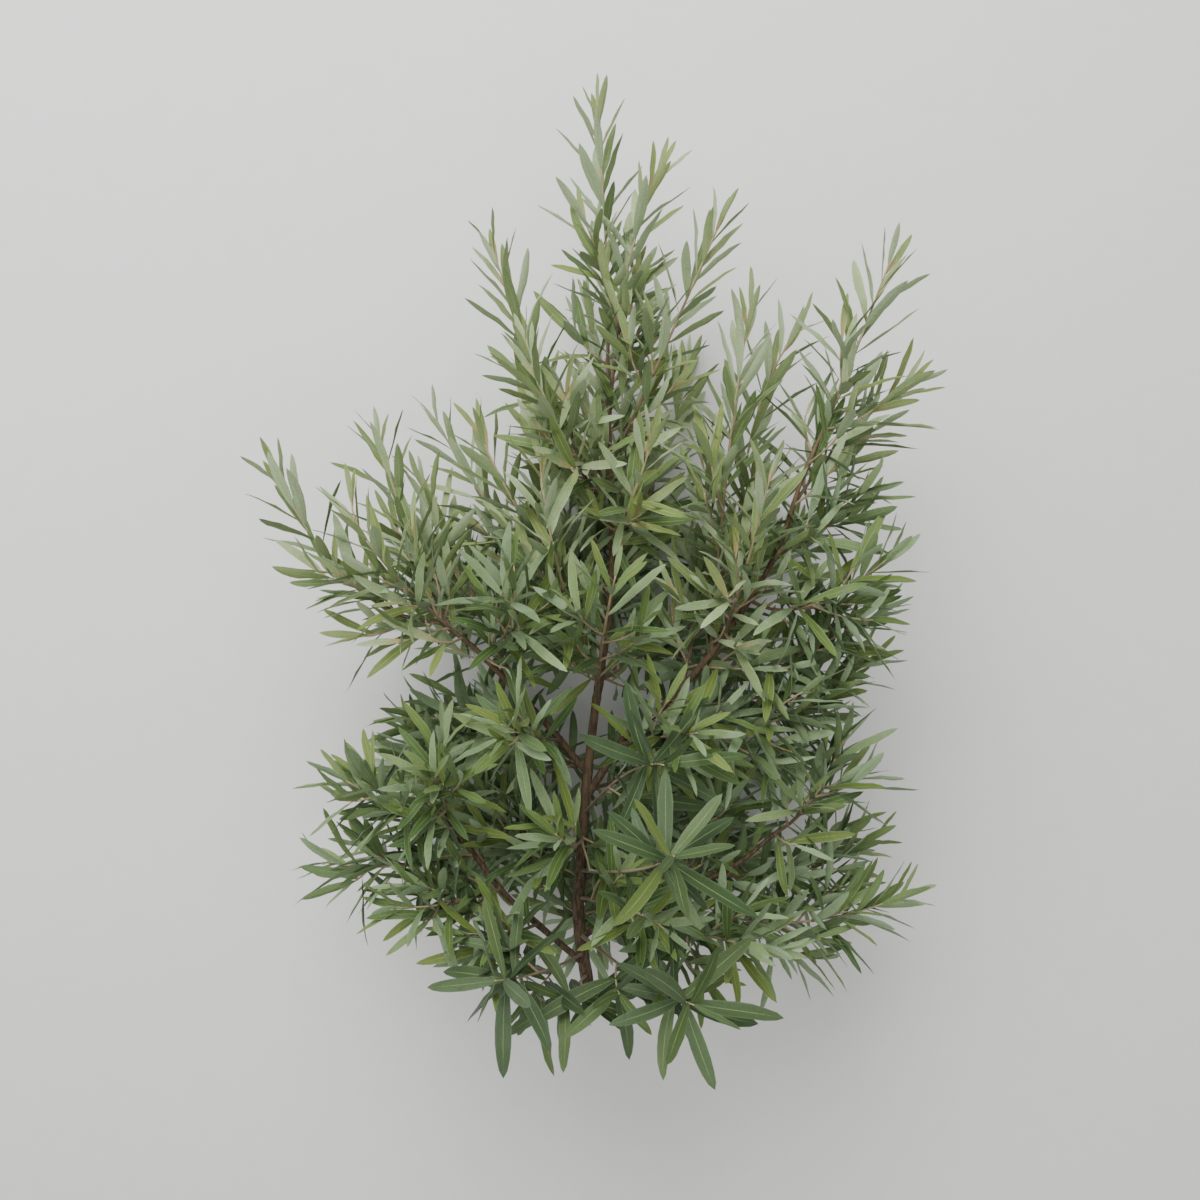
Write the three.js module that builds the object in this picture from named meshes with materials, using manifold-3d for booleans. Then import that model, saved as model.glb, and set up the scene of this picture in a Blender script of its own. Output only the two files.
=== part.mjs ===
// A young sea buckthorn plant, cut at the ground and lying on its side.
// Millimetres. X runs to the plant's right, Y from the cut foot to the leading tip, Z up from the surface it lies on.
// Inside this file the plant is drawn round its own foot: the stem's axis starts at 0, 0, 0 and the surface is at
// z = FLOOR. The last lines move the whole to its resting place, with the origin under its middle.
import * as THREE from 'three';
import { mergeVertices } from 'three/addons/utils/BufferGeometryUtils.js';
import Module from 'manifold-3d';

const wasm = await Module();
wasm.setup();
const { Manifold, Mesh } = wasm;

const FLOOR = -145; // the surface under the lying plant
const GAP = 0.3; // clear space between neighbouring pieces
const TURN = (137.508 * Math.PI) / 180; // turn of each leaf round its twig from the one before
const PLANT_UP = new THREE.Vector3(0, 1, 0); // the way up while it grew
const SKY = new THREE.Vector3(0, 0, 1); // the way up as it lies
const CHORDS = 24; // chords that measure a twig's length
const BLADE_EDGE = 0.35; // rise of a blade's two edges
const BLADE_KEEL = -0.75; // drop of its keel
const LEAVES_IN_SOLIDS = 8.7; // one leaf in so many is a solid
const TWIG_SIDES = 4;
const TWIG_STEPS = 5;
const SIDE_TWIG_SIDES = 3;
const SIDE_TWIG_STEPS = 2;
const TIP_RADIUS = 0.65; // of every twig
const SMOOTH = [0.01, 0.02, 0.04, 0.08]; // corners nearer than this to a plain face are dropped, the least that serves
const CORNER_GAP = 0.0003; // the least distance between two corners of a solid

// Old wood: the places that each branch runs through, and its radius at the start and at the end.
const WOOD = {
  trunk: { from: 5.6, to: 2.2, sides: 10, steps: 12,
    through: [[0, 0, 0], [-12, 82, 0], [-10, 139, 0], [-6, 201, 0], [2, 278, 0], [9, 326, 0],
      [17, 395, 0], [18, 458, 0], [14, 576, 0]] },
  left_limb: { from: 3.4, to: 1.9, sides: 7, steps: 6,
    through: [[-5, 227, 0], [-48, 282, 12], [-101, 343, 30], [-133, 371, 42]] },
  right_limb: { from: 3.8, to: 1.9, sides: 7, steps: 9,
    through: [[-4, 205, 0], [31, 262, 12], [60, 288, 22], [106, 343, 40], [157, 425, 52], [181, 500, 64]] },
  low_left_limb: { from: 3.2, to: 1.8, sides: 7, steps: 6,
    through: [[-7, 44, 0], [-75, 114, 22], [-106, 158, 32], [-132, 199, 42]] },
  low_right_limb: { from: 3.2, to: 1.8, sides: 7, steps: 6,
    through: [[-9, 72, 0], [62, 111, 15], [125, 145, 30], [164, 180, 40]] },
};

// How a twig is leafed: the bare share at its foot, the space between leaves, their angle to the twig at its foot,
// middle and tip, the longest blade, its length over its width, its curl at the foot and at the tip, and the angle,
// share of the twig's length and places of the side twigs, for a long twig and a short one.
const HABITS = {
  young: { bare: 0.06, space: 6.8, angles: [66, 48, 18], longest: 62, slender: 6.9, curls: [-0.14, -0.04],
    fork: 28, reach: 0.2, sides: [[0.2, 0.42], [0.35]], colour: 0x7f8f6a },
  spreading: { bare: 0.15, space: 5.2, angles: [80, 57, 24], longest: 62, slender: 6.8, curls: [-0.16, -0.03],
    fork: 40, reach: 0.3, sides: [[0.36, 0.58], [0.46]], colour: 0x6c7f60 },
  whorled: { bare: 0.8, space: 3, angles: [98, 80, 38], longest: 77, slender: 5.6, curls: [-0.12, -0.02],
    fork: 0, reach: 0, sides: [[], []], colour: 0x55724a },
};

// This year's leafy twigs: the branch that each grows from, how far along it, a place on its way, and its tip.
const SHOOTS = [
  ['leader', 'trunk', 1, [13, 695, 5], [4, 815, 10], 'young'],
  ['right_of_leader', 'trunk', 0.96, [30, 670, 25], [60, 760, 32], 'young'],
  ['upper_right', 'trunk', 0.93, [55, 590, 40], [110, 715, 50], 'young'],
  ['upper_left', 'trunk', 0.885, [-30, 545, 30], [-85, 695, 42], 'young'],
  ['upper_left_front', 'trunk', 0.905, [-22, 530, 60], [-55, 610, 80], 'young'],
  ['top_front', 'trunk', 0.85, [35, 480, 70], [50, 530, 100], 'young'],
  ['right_tall', 'right_limb', 0.6, [116, 515, 75], [135, 645, 72], 'young'],
  ['right_inner', 'right_limb', 0.68, [140, 530, 20], [185, 630, 10], 'young'],
  ['right_high', 'right_limb', 1, [210, 575, 80], [245, 675, 95], 'young'],
  ['right_fork', 'right_limb', 0.93, [222, 535, 50], [275, 580, 60], 'young'],
  ['right_middle', 'right_limb', 0.8, [190, 455, 70], [235, 490, 82], 'spreading'],
  ['right_wide', 'right_limb', 0.72, [185, 390, 85], [250, 435, 105], 'spreading'],
  ['right_low_wide', 'right_limb', 0.56, [175, 345, 60], [250, 385, 72], 'spreading'],
  ['right_under', 'right_limb', 0.43, [155, 305, 40], [245, 340, 50], 'spreading'],
  ['right_foot', 'right_limb', 0.28, [140, 280, 55], [220, 320, 66], 'spreading'],
  ['right_centre', 'right_limb', 0.5, [100, 420, -15], [105, 530, -30], 'young'],
  ['right_front', 'right_limb', 0.64, [130, 430, 110], [145, 505, 140], 'young'],
  ['low_right_tip', 'low_right_limb', 1, [195, 215, 55], [220, 270, 62], 'spreading'],
  ['low_right_far', 'low_right_limb', 0.29, [170, 90, 20], [285, 120, 30], 'spreading'],
  ['low_right_mid', 'low_right_limb', 0.59, [185, 135, 0], [260, 160, -10], 'spreading'],
  ['low_right_front', 'low_right_limb', 0.13, [95, 100, 80], [165, 100, 120], 'spreading'],
  ['front_rosette', 'trunk', 0.24, [35, 170, 120], [65, 210, 215], 'whorled'],
  ['low_front_rosette', 'trunk', 0.11, [42, 72, 110], [83, 80, 190], 'whorled'],
  ['left_front_rosette', 'trunk', 0.08, [-45, 70, 90], [-80, 85, 150], 'whorled'],
  ['foot_front', 'trunk', 0.05, [-15, 45, 60], [-25, 48, 95], 'whorled'],
  ['centre_front', 'trunk', 0.54, [10, 360, 70], [20, 420, 135], 'spreading'],
  ['left_tip', 'left_limb', 1, [-205, 405, 60], [-270, 505, 72], 'young'],
  ['left_rear', 'left_limb', 0.9, [-155, 430, 25], [-190, 535, 15], 'young'],
  ['left_twig', 'left_limb', 0.78, [-178, 430, 84], [-200, 480, 98], 'young'],
  ['left_front', 'left_limb', 0.62, [-70, 375, 70], [-65, 425, 95], 'spreading'],
  ['upper_left_low', 'trunk', 0.7, [-50, 445, 20], [-100, 540, 25], 'young'],
  ['upper_left_wide', 'trunk', 0.65, [-80, 450, -25], [-145, 550, -40], 'young'],
  ['left_centre', 'trunk', 0.575, [-30, 425, 60], [-45, 530, 55], 'young'],
  ['left_limb_top', 'left_limb', 0.48, [-110, 395, -10], [-160, 495, -30], 'young'],
  ['low_left_tip', 'low_left_limb', 1, [-170, 210, 60], [-220, 240, 72], 'spreading'],
  ['low_left_up', 'low_left_limb', 0.88, [-130, 235, 85], [-125, 280, 110], 'spreading'],
  ['low_left_flat', 'low_left_limb', 0.67, [-170, 150, 40], [-240, 155, 45], 'spreading'],
  ['low_left_front', 'low_left_limb', 0.4, [-125, 125, 70], [-170, 130, 95], 'spreading'],
  ['mid_left_flat', 'left_limb', 0.33, [-115, 270, -30], [-180, 270, -45], 'spreading'],
  ['low_left_inner', 'low_left_limb', 0.2, [-75, 95, 60], [-110, 105, 90], 'spreading'],
  ['mid_left_front', 'trunk', 0.31, [-15, 175, 60], [-30, 200, 115], 'spreading'],
  ['mid_right_front', 'right_limb', 0.17, [60, 275, 75], [88, 290, 130], 'spreading'],
  ['centre_low_front', 'trunk', 0.35, [30, 245, 85], [60, 265, 140], 'whorled'],
  ['left_mid_front', 'left_limb', 0.19, [-55, 275, 70], [-75, 295, 120], 'spreading'],
  ['low_centre_front', 'trunk', 0.18, [35, 125, 90], [60, 130, 150], 'spreading'],
  ['low_left_rear', 'low_left_limb', 0.54, [-125, 200, -20], [-170, 262, -35], 'spreading'],
  ['low_centre_left', 'trunk', 0.225, [-60, 160, 25], [-98, 222, 40], 'spreading'],
  ['low_right_inner', 'low_right_limb', 0.42, [100, 170, 20], [120, 240, 25], 'spreading'],
  ['back_top', 'trunk', 0.87, [10, 550, -70], [-5, 660, -110], 'young'],
  ['back_upper_left', 'trunk', 0.74, [-30, 470, -90], [-60, 585, -135], 'young'],
  ['back_upper_right', 'trunk', 0.79, [65, 505, -85], [95, 605, -134], 'young'],
  ['back_left', 'trunk', 0.61, [-100, 370, -100], [-190, 425, -137], 'spreading'],
  ['back_right', 'trunk', 0.59, [115, 365, -100], [205, 440, -137], 'spreading'],
  ['back_centre', 'trunk', 0.67, [20, 415, -110], [35, 500, -138], 'spreading'],
  ['back_mid_left', 'trunk', 0.42, [-110, 230, -100], [-205, 200, -137], 'spreading'],
  ['back_mid_right', 'trunk', 0.39, [105, 210, -100], [210, 205, -137], 'spreading'],
  ['back_low_left', 'trunk', 0.27, [-90, 125, -100], [-175, 105, -137], 'spreading'],
  ['back_low_right', 'trunk', 0.21, [85, 125, -100], [170, 85, -137], 'spreading'],
  ['back_foot', 'trunk', 0.145, [0, 75, -95], [30, 115, -138], 'spreading'],
];

/** Seeded draws between 0 and 1: the same seed always gives the same plant. */
function seededDraw(seed) {
  let state = seed >>> 0;
  return () => {
    state = (state + 0x6d2b79f5) >>> 0;
    let mixed = state;
    mixed = Math.imul(mixed ^ (mixed >>> 15), mixed | 1);
    mixed ^= mixed + Math.imul(mixed ^ (mixed >>> 7), mixed | 61);
    return ((mixed ^ (mixed >>> 14)) >>> 0) / 4294967296;
  };
}

const vector = (place) => new THREE.Vector3(...place);
const radians = (degrees) => (degrees * Math.PI) / 180;
const mix = (from, to, share) => from + (to - from) * share;
const threeWay = ([foot, middle, tip], share) =>
  share < 0.5 ? mix(foot, middle, share * 2) : mix(middle, tip, share * 2 - 1);

/** What is left of a direction once its part along a unit vector is taken out, as a unit vector. */
function across(direction, along) {
  return direction.clone().addScaledVector(along, -direction.dot(along)).normalize();
}

/** A three.js geometry as a closed manifold. */
function solidOf(geometry) {
  geometry.deleteAttribute('normal');
  geometry.deleteAttribute('uv');
  const merged = mergeVertices(geometry, 1e-4);
  return new Manifold(new Mesh({
    numProp: 3,
    vertProperties: new Float32Array(merged.attributes.position.array),
    triVerts: new Uint32Array(merged.index.array),
  }));
}

/** A tapered cylinder bent along rings: each ring has a centre, a direction and a radius. */
function bentCylinder(rings, sides) {
  const geometry = new THREE.CylinderGeometry(1, 1, 1, sides, rings.length - 1);
  const places = geometry.attributes.position;
  const chord = rings[rings.length - 1].centre.clone().sub(rings[0].centre).normalize();
  const reference = new THREE.Vector3().crossVectors(chord, Math.abs(chord.z) > 0.8 ? vector([1, 0, 0]) : SKY);
  for (let i = 0; i < places.count; i += 1) {
    const ring = rings[Math.round((places.getY(i) + 0.5) * (rings.length - 1))];
    const side = across(reference, ring.direction);
    const other = new THREE.Vector3().crossVectors(side, ring.direction);
    const place = ring.centre.clone()
      .addScaledVector(side, places.getX(i) * ring.radius)
      .addScaledVector(other, places.getZ(i) * ring.radius);
    places.setXYZ(i, place.x, place.y, place.z);
  }
  return solidOf(geometry);
}

/** One branch of old wood, or the slightly larger space that is kept free round it. */
function branch({ from, to, sides, steps, through }, spare = 0) {
  const curve = new THREE.CatmullRomCurve3(through.map(vector), false, 'catmullrom', 0.5);
  const rings = [];
  for (let i = 0; i <= steps; i += 1) {
    const direction = curve.getTangent(i / steps);
    const centre = curve.getPoint(i / steps);
    if (i === steps) centre.addScaledVector(direction, spare);
    rings.push({ centre, direction, radius: mix(from, to, i / steps) + spare });
  }
  if (through === WOOD.trunk.through) rings[0].direction.copy(PLANT_UP); // the foot is sawn square
  return bentCylinder(rings, sides);
}

/** The curve of a twig from its foot through a place on its way to its tip, measured in equal chords. */
function twigCurve(foot, over, tip) {
  const control = over.clone().multiplyScalar(2).addScaledVector(foot, -0.5).addScaledVector(tip, -0.5);
  const curve = new THREE.QuadraticBezierCurve3(foot, control, tip);
  const marks = [0];
  for (let i = 1; i <= CHORDS; i += 1) {
    marks.push(marks[i - 1] + curve.getPoint(i / CHORDS).distanceTo(curve.getPoint((i - 1) / CHORDS)));
  }
  const chord = tip.clone().sub(foot).normalize();
  const reference = new THREE.Vector3().crossVectors(chord, Math.abs(chord.z) > 0.8 ? vector([1, 0, 0]) : SKY);
  return { curve, marks, reference, length: marks[CHORDS] };
}

/** The place, direction and two cross directions at a distance along a twig. */
function station(twig, distance) {
  let i = 1;
  while (i < CHORDS && twig.marks[i] < distance) i += 1;
  const share = (distance - twig.marks[i - 1]) / (twig.marks[i] - twig.marks[i - 1]);
  const t = (i - 1 + share) / CHORDS;
  const direction = twig.curve.getTangent(t);
  const side = across(twig.reference, direction);
  return { centre: twig.curve.getPoint(t), direction, side,
    other: new THREE.Vector3().crossVectors(side, direction) };
}

/** A unit vector at an angle to a twig, turned round it. */
function lean(place, angle, turn) {
  return place.direction.clone().multiplyScalar(Math.cos(angle))
    .addScaledVector(place.side, Math.sin(angle) * Math.cos(turn))
    .addScaledVector(place.other, Math.sin(angle) * Math.sin(turn));
}

/** Where every leaf of a twig sits: its root, direction, upper face, length, width and curl. */
function leavesOf(twig, habit, draw, first, phase) {
  const leafy = twig.length * (1 - habit.bare);
  const count = Math.max(6, Math.round(leafy / habit.space));
  const leaves = [];
  for (let i = 0; i < count; i += 1) {
    const shares = [draw(), draw(), draw(), draw(), draw(), draw()].map((share) => share * 2 - 1);
    const along = mix(first, 1, (i + 0.5) / count);
    const distance = Math.min(twig.length * habit.bare + (leafy * (i + 0.5 + shares[0] * 0.3)) / count,
      twig.length * 0.995);
    const place = station(twig, distance);
    const angle = radians(threeWay(habit.angles, along) + shares[2] * 9);
    const root = place.centre;
    let direction = lean(place, angle, i * TURN + phase + shares[1] * 0.3).addScaledVector(PLANT_UP, 0.1).normalize();
    const grown = along < 0.6 ? mix(0.72, 1, along / 0.6) : 1 - 0.5 * ((along - 0.6) / 0.4) ** 2;
    const length = habit.longest * grown * (1 + shares[3] * 0.12);
    let face = across(across(place.direction, direction).addScaledVector(PLANT_UP, 0.5), direction);
    face.applyAxisAngle(direction, shares[4] * 0.45);
    let curl = mix(habit.curls[0], habit.curls[1], along) + shares[5] * 0.05;
    let pressed = false;
    if (root.z + length * (direction.z + curl * face.z) < FLOOR + 3) {
      // a leaf that would reach the surface is pressed flat to it
      const fall = Math.max(-0.9, (FLOOR + 1.2 - root.z) / length);
      const level = Math.hypot(direction.x, direction.y) || 1;
      const spread = Math.sqrt(1 - fall * fall) / level;
      direction = new THREE.Vector3(direction.x * spread, direction.y * spread, fall).normalize();
      face = across(SKY, direction);
      curl = 0;
      pressed = true;
    }
    leaves.push({ pressed, twig, distance, root, direction, face, length, width: length / habit.slender, curl });
  }
  return leaves;
}

/** A leafy twig of this year's growth: its curve, its short side twigs, and every leaf on them. */
function grow([name, wood, at, over, tip, habitName], index) {
  const draw = seededDraw(7919 * (index + 1));
  const habit = HABITS[habitName];
  const limb = new THREE.CatmullRomCurve3(WOOD[wood].through.map(vector), false, 'catmullrom', 0.5);
  const twig = twigCurve(limb.getPoint(at), vector(over), vector(tip));
  twig.radius = twig.length > 180 ? 1.9 : 1.6;
  const twigs = [twig];
  const leaves = leavesOf(twig, habit, draw, 0, draw() * 6.28);
  for (const [i, share] of habit.sides[twig.length > 150 ? 0 : 1].entries()) {
    const place = station(twig, twig.length * (share + (draw() - 0.5) * 0.06));
    const turn = i * Math.PI + (draw() - 0.5) * 1.6;
    const reach = twig.length * (habit.reach + draw() * 0.1) * (1 - 0.3 * i);
    const out = lean(place, radians(habit.fork), turn);
    const end = place.centre.clone().addScaledVector(out, reach * 0.86).addScaledVector(place.direction, reach * 0.2);
    end.z = Math.max(end.z, FLOOR + 6);
    const middle = place.centre.clone().addScaledVector(out, reach * 0.5);
    middle.z = Math.max(middle.z, FLOOR + 6);
    const side = twigCurve(place.centre, middle, end);
    side.radius = 1.1;
    twigs.push(side);
    leaves.push(...leavesOf(side, { ...habit, bare: 0.12 }, draw, 0.3, draw() * 6.28));
  }
  return { name, habit, twigs, leaves };
}

/** A twig as a solid, with a ring at each equal step. */
function twigSolid(twig, sides, steps) {
  twig.rings = [];
  for (let i = 0; i <= steps; i += 1) {
    const place = station(twig, (twig.length * i) / steps);
    twig.rings.push({ ...place, radius: mix(twig.radius, TIP_RADIUS, i / steps) });
  }
  return bentCylinder(twig.rings, sides);
}

/** The place on the axis of a twig's solid at a distance along it. */
function onAxis({ rings, length }, distance) {
  const step = Math.min((distance / length) * (rings.length - 1), rings.length - 1.001);
  const ring = Math.floor(step);
  return rings[ring].centre.clone().lerp(rings[ring + 1].centre, step - ring);
}

/** A narrow blade with two edges and a keel, widest past its middle, curled, its root on the twig's axis. */
function bladeSolid({ pressed, twig, distance, direction, face, length, width, curl }) {
  const root = onAxis(twig, distance);
  const geometry = new THREE.SphereGeometry(1, 3, 4);
  const places = geometry.attributes.position;
  const edge = new THREE.Vector3().crossVectors(direction, face);
  for (let i = 0; i < places.count; i += 1) {
    const along = (1 - places.getY(i)) / 2;
    const ring = Math.hypot(places.getX(i), places.getZ(i));
    const onEdge = places.getX(i) > 0;
    const outline = (4 * along * (1 - along)) ** 0.75 * (1 + 0.12 * (2 * along - 1));
    const out = ring < 1e-6 ? 0 : (Math.sign(Math.round(places.getZ(i) * 100)) * outline * width) / 2;
    const rise = (onEdge ? BLADE_EDGE : BLADE_KEEL) * ring;
    const place = root.clone().addScaledVector(direction, along * length)
      .addScaledVector(face, rise + curl * length * along * along)
      .addScaledVector(edge, out);
    places.setXYZ(i, place.x, place.y, place.z);
  }
  if (pressed) restOnSurface(places, root.z);
  return solidOf(geometry);
}

/** Tilts a pressed blade about its root until its lowest corner meets the surface. */
function restOnSurface(places, rootHeight) {
  const corners = [...Array(places.count).keys()];
  const start = corners.map((i) => rootHeight - places.getZ(i));
  const share = rootHeight - FLOOR;
  const deepest = Math.max(...start);
  corners.forEach((i) => places.setZ(i, rootHeight - start[i] * (share / deepest)));
}

const farApart = (a, b) => a.min[0] > b.max[0] + GAP || b.min[0] > a.max[0] + GAP || a.min[1] > b.max[1] + GAP
  || b.min[1] > a.max[1] + GAP || a.min[2] > b.max[2] + GAP || b.min[2] > a.max[2] + GAP;

/** Whether a solid keeps clear of every solid that other pieces already hold. */
function isClear(solid, owner, held) {
  const box = solid.boundingBox();
  return held.every((other) => other.owner === owner || farApart(box, other.box)
    || solid.minGap(other.solid, GAP * 1.2) >= GAP);
}

/** The leaves that become solids: those that reach furthest, and from the tip down one in so many that is clear. */
function chosenBlades(shoot, owner, held, furthest) {
  const blades = [];
  const quota = Math.ceil(shoot.leaves.length / LEAVES_IN_SOLIDS);
  const order = shoot.leaves.map((leaf, i) => i).reverse();
  order.sort((a, b) => furthest.has(shoot.leaves[b]) - furthest.has(shoot.leaves[a]));
  const taken = new Set();
  for (const spread of [LEAVES_IN_SOLIDS, LEAVES_IN_SOLIDS / 2, 1]) {
    for (const i of order) {
      if (blades.length >= quota) break;
      if (taken.has(i)) continue;
      const near = [...taken].some((other) => Math.abs(other - i) < Math.floor(spread));
      if (near && !furthest.has(shoot.leaves[i])) continue;
      const blade = bladeSolid(shoot.leaves[i]);
      if (!isClear(blade, owner, held)) continue;
      taken.add(i);
      blades.push(blade);
      held.push({ owner, solid: blade, box: blade.boundingBox() });
    }
  }
  return blades;
}

/** Leaves whose tips reach furthest to each side, forward, upward and down the plant. */
function furthestLeaves(shoots) {
  const found = new Set();
  const all = shoots.flatMap((shoot) => shoot.leaves);
  const tip = (leaf) => leaf.root.clone().addScaledVector(leaf.direction, leaf.length)
    .addScaledVector(leaf.face, leaf.curl * leaf.length);
  for (const way of [[1, 0, 0], [-1, 0, 0], [0, 1, 0], [0, -1, 0], [0, 0, 1]]) {
    const reach = new Map(all.map((leaf) => [leaf, tip(leaf).dot(vector(way))]));
    all.sort((a, b) => reach.get(b) - reach.get(a)).slice(0, 2).forEach((leaf) => found.add(leaf));
  }
  return found;
}

/** The distance between the two nearest corners of a solid. */
function nearestCorners(solid) {
  const { vertProperties: at, numProp } = solid.getMesh();
  let least = Infinity;
  for (let i = 0; i < at.length; i += numProp) {
    for (let j = i + numProp; j < at.length; j += numProp) {
      least = Math.min(least, Math.hypot(at[i] - at[j], at[i + 1] - at[j + 1], at[i + 2] - at[j + 2]));
    }
  }
  return least;
}

/** A solid without the tiny slivers that joining leaves. */
function smoothed(solid) {
  const tries = SMOOTH.map((tolerance) => solid.simplify(tolerance));
  return tries.find((tried) => nearestCorners(tried) > CORNER_GAP) ?? tries[0];
}

/** A stem joined with its blades, less a blade whose corner all but meets another corner. */
function joined(stem, blades) {
  const whole = (kept) => smoothed(Manifold.union([stem, ...kept]));
  const tries = [blades, ...blades.map((left) => blades.filter((blade) => blade !== left))];
  for (const kept of tries) {
    const solid = whole(kept);
    if (nearestCorners(solid) > CORNER_GAP) return solid;
  }
  return whole(blades);
}

/** A named mesh of one closed solid. */
function pieceOf(name, solid, colour, roughness) {
  const mesh = solid.getMesh();
  const geometry = new THREE.BufferGeometry();
  geometry.setAttribute('position', new THREE.Float32BufferAttribute(mesh.vertProperties, 3));
  geometry.setIndex(new THREE.BufferAttribute(mesh.triVerts, 1));
  geometry.computeVertexNormals();
  const material = new THREE.MeshStandardMaterial({ color: colour, roughness, metalness: 0 });
  const piece = new THREE.Mesh(geometry, material);
  piece.name = name;
  return piece;
}

const group = new THREE.Group();
group.name = 'cut_sea_buckthorn';

const frameSolid = Manifold.union(Object.values(WOOD).map((wood) => branch(wood)));
const keptFree = Manifold.union(Object.values(WOOD).map((wood) => branch(wood, GAP * 1.2)));
group.add(pieceOf('woody_frame', frameSolid, 0x5a4332, 0.85));

const shoots = SHOOTS.map(grow);
const held = [{ owner: 'woody_frame', solid: frameSolid, box: frameSolid.boundingBox() }];
for (const shoot of shoots) {
  const stems = shoot.twigs.map((twig, i) => (i
    ? twigSolid(twig, SIDE_TWIG_SIDES, SIDE_TWIG_STEPS) : twigSolid(twig, TWIG_SIDES, TWIG_STEPS)));
  shoot.stem = Manifold.union(stems).subtract(keptFree);
  held.push({ owner: shoot.name, solid: shoot.stem, box: shoot.stem.boundingBox() });
}
const furthest = furthestLeaves(shoots);
for (const shoot of shoots) {
  const blades = chosenBlades(shoot, shoot.name, held, furthest);
  const solid = joined(shoot.stem, blades);
  group.add(pieceOf(`${shoot.name}_shoot`, solid, shoot.habit.colour, 0.6));
}

// The lying plant's own box is centred over the origin, its lowest leaves on the surface.
const box = new THREE.Box3().setFromObject(group);
const middle = box.getCenter(new THREE.Vector3());
group.position.set(-middle.x, -middle.y, -box.min.z);
group.updateMatrixWorld(true);

export default group;
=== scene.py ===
"""A young sea buckthorn plant, cut at the ground and lying on its side, and the studio round it.

The twigs and leaves grow here by the same seeded rule as the solids of the part, in the plant's own
frame in millimetres: x to the right, y up the stem from the cut foot, z towards the camera. Each
piece is then moved to where the part's woody frame stands, in metres.
"""

import logging
import math
from collections.abc import Callable
from dataclasses import dataclass, field
from enum import Enum

import bpy
import numpy as np
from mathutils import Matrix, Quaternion, Vector


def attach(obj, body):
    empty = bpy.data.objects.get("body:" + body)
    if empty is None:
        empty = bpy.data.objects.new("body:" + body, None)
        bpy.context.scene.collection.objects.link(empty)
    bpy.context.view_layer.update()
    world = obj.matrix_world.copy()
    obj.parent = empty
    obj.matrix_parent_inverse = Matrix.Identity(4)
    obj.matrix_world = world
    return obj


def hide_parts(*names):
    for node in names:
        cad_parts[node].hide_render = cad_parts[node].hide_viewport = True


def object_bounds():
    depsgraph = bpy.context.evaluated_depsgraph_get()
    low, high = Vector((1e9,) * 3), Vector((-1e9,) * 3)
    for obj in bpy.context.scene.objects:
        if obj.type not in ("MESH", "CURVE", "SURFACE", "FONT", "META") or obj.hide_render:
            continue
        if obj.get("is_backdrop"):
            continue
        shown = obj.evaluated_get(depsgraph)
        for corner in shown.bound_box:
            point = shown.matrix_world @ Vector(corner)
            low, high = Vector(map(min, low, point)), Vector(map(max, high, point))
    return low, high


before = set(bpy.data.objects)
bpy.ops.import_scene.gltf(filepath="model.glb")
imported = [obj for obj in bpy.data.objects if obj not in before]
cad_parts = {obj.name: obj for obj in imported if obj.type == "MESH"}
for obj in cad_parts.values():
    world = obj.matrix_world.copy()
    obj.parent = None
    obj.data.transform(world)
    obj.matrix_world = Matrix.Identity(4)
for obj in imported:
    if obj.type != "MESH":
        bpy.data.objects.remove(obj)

MM = 0.001
FLOOR = -145.0  # the surface under the plant, in its own frame
GOLDEN_TURN = math.radians(137.508)  # turn of each leaf round its twig from the one before
FULL_TURN = 6.28  # rounded, as the solids take it
GROWTH_SEED, FILLER_SEED, LOOK_SEED = 7919, 15485863, 104729
CHORDS = 24  # chords that measure a twig's length
TIP_RADIUS = 0.65  # of every twig
RIGHT, PLANT_UP, SKY = Vector((1, 0, 0)), Vector((0, 1, 0)), Vector((0, 0, 1))
EYE = Vector((7.5, 538.7, 1350))  # where the plant is looked at from, in its own frame
LOOK_ATTRIBUTE = "growth"  # red: a leaf's own tint, green: youth, blue: underside, alpha: silver
BLADE_MAP = "blade_map"
LOG = logging.getLogger("plant")
Triple = tuple[float, float, float]  # a place, three sizes or a colour
Socket = bpy.types.NodeSocket
Value = Socket | Triple | float


class Slot(Enum):
    """The record's material slots."""

    BARK = "bark"
    YOUNG = "young_leaf"
    LEAF = "leaf"
    LOW = "low_leaf"


@dataclass(frozen=True)
class HabitSizes:
    """How a twig is leafed.

    Attributes:
        bare: Share of the twig without leaves at its foot.
        space: Distance between leaves in mm.
        angles: Angle of the leaves to the twig at its foot, middle and tip, in degrees.
        longest: Length of the longest blade in mm.
        slender: Blade length over blade width.
        curls: Curl of the blades at the foot and at the tip, as a share of their length.
        fork: Angle of the side twigs to the twig, in degrees.
        reach: Length of a side twig as a share of the twig's, before the draw.
        sides: Places of the side twigs along a long twig and along a short one.
        fillers: Places of the further side twigs that only the look has.
        blunt: How much fuller the blades are near both ends, from 0.
        slot: Material slot of the record.
    """

    bare: float
    space: float
    angles: Triple
    longest: float
    slender: float
    curls: tuple[float, float]
    fork: float
    reach: float
    sides: tuple[tuple[float, ...], tuple[float, ...]]
    fillers: tuple[float, ...]
    blunt: float
    slot: Slot


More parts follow.
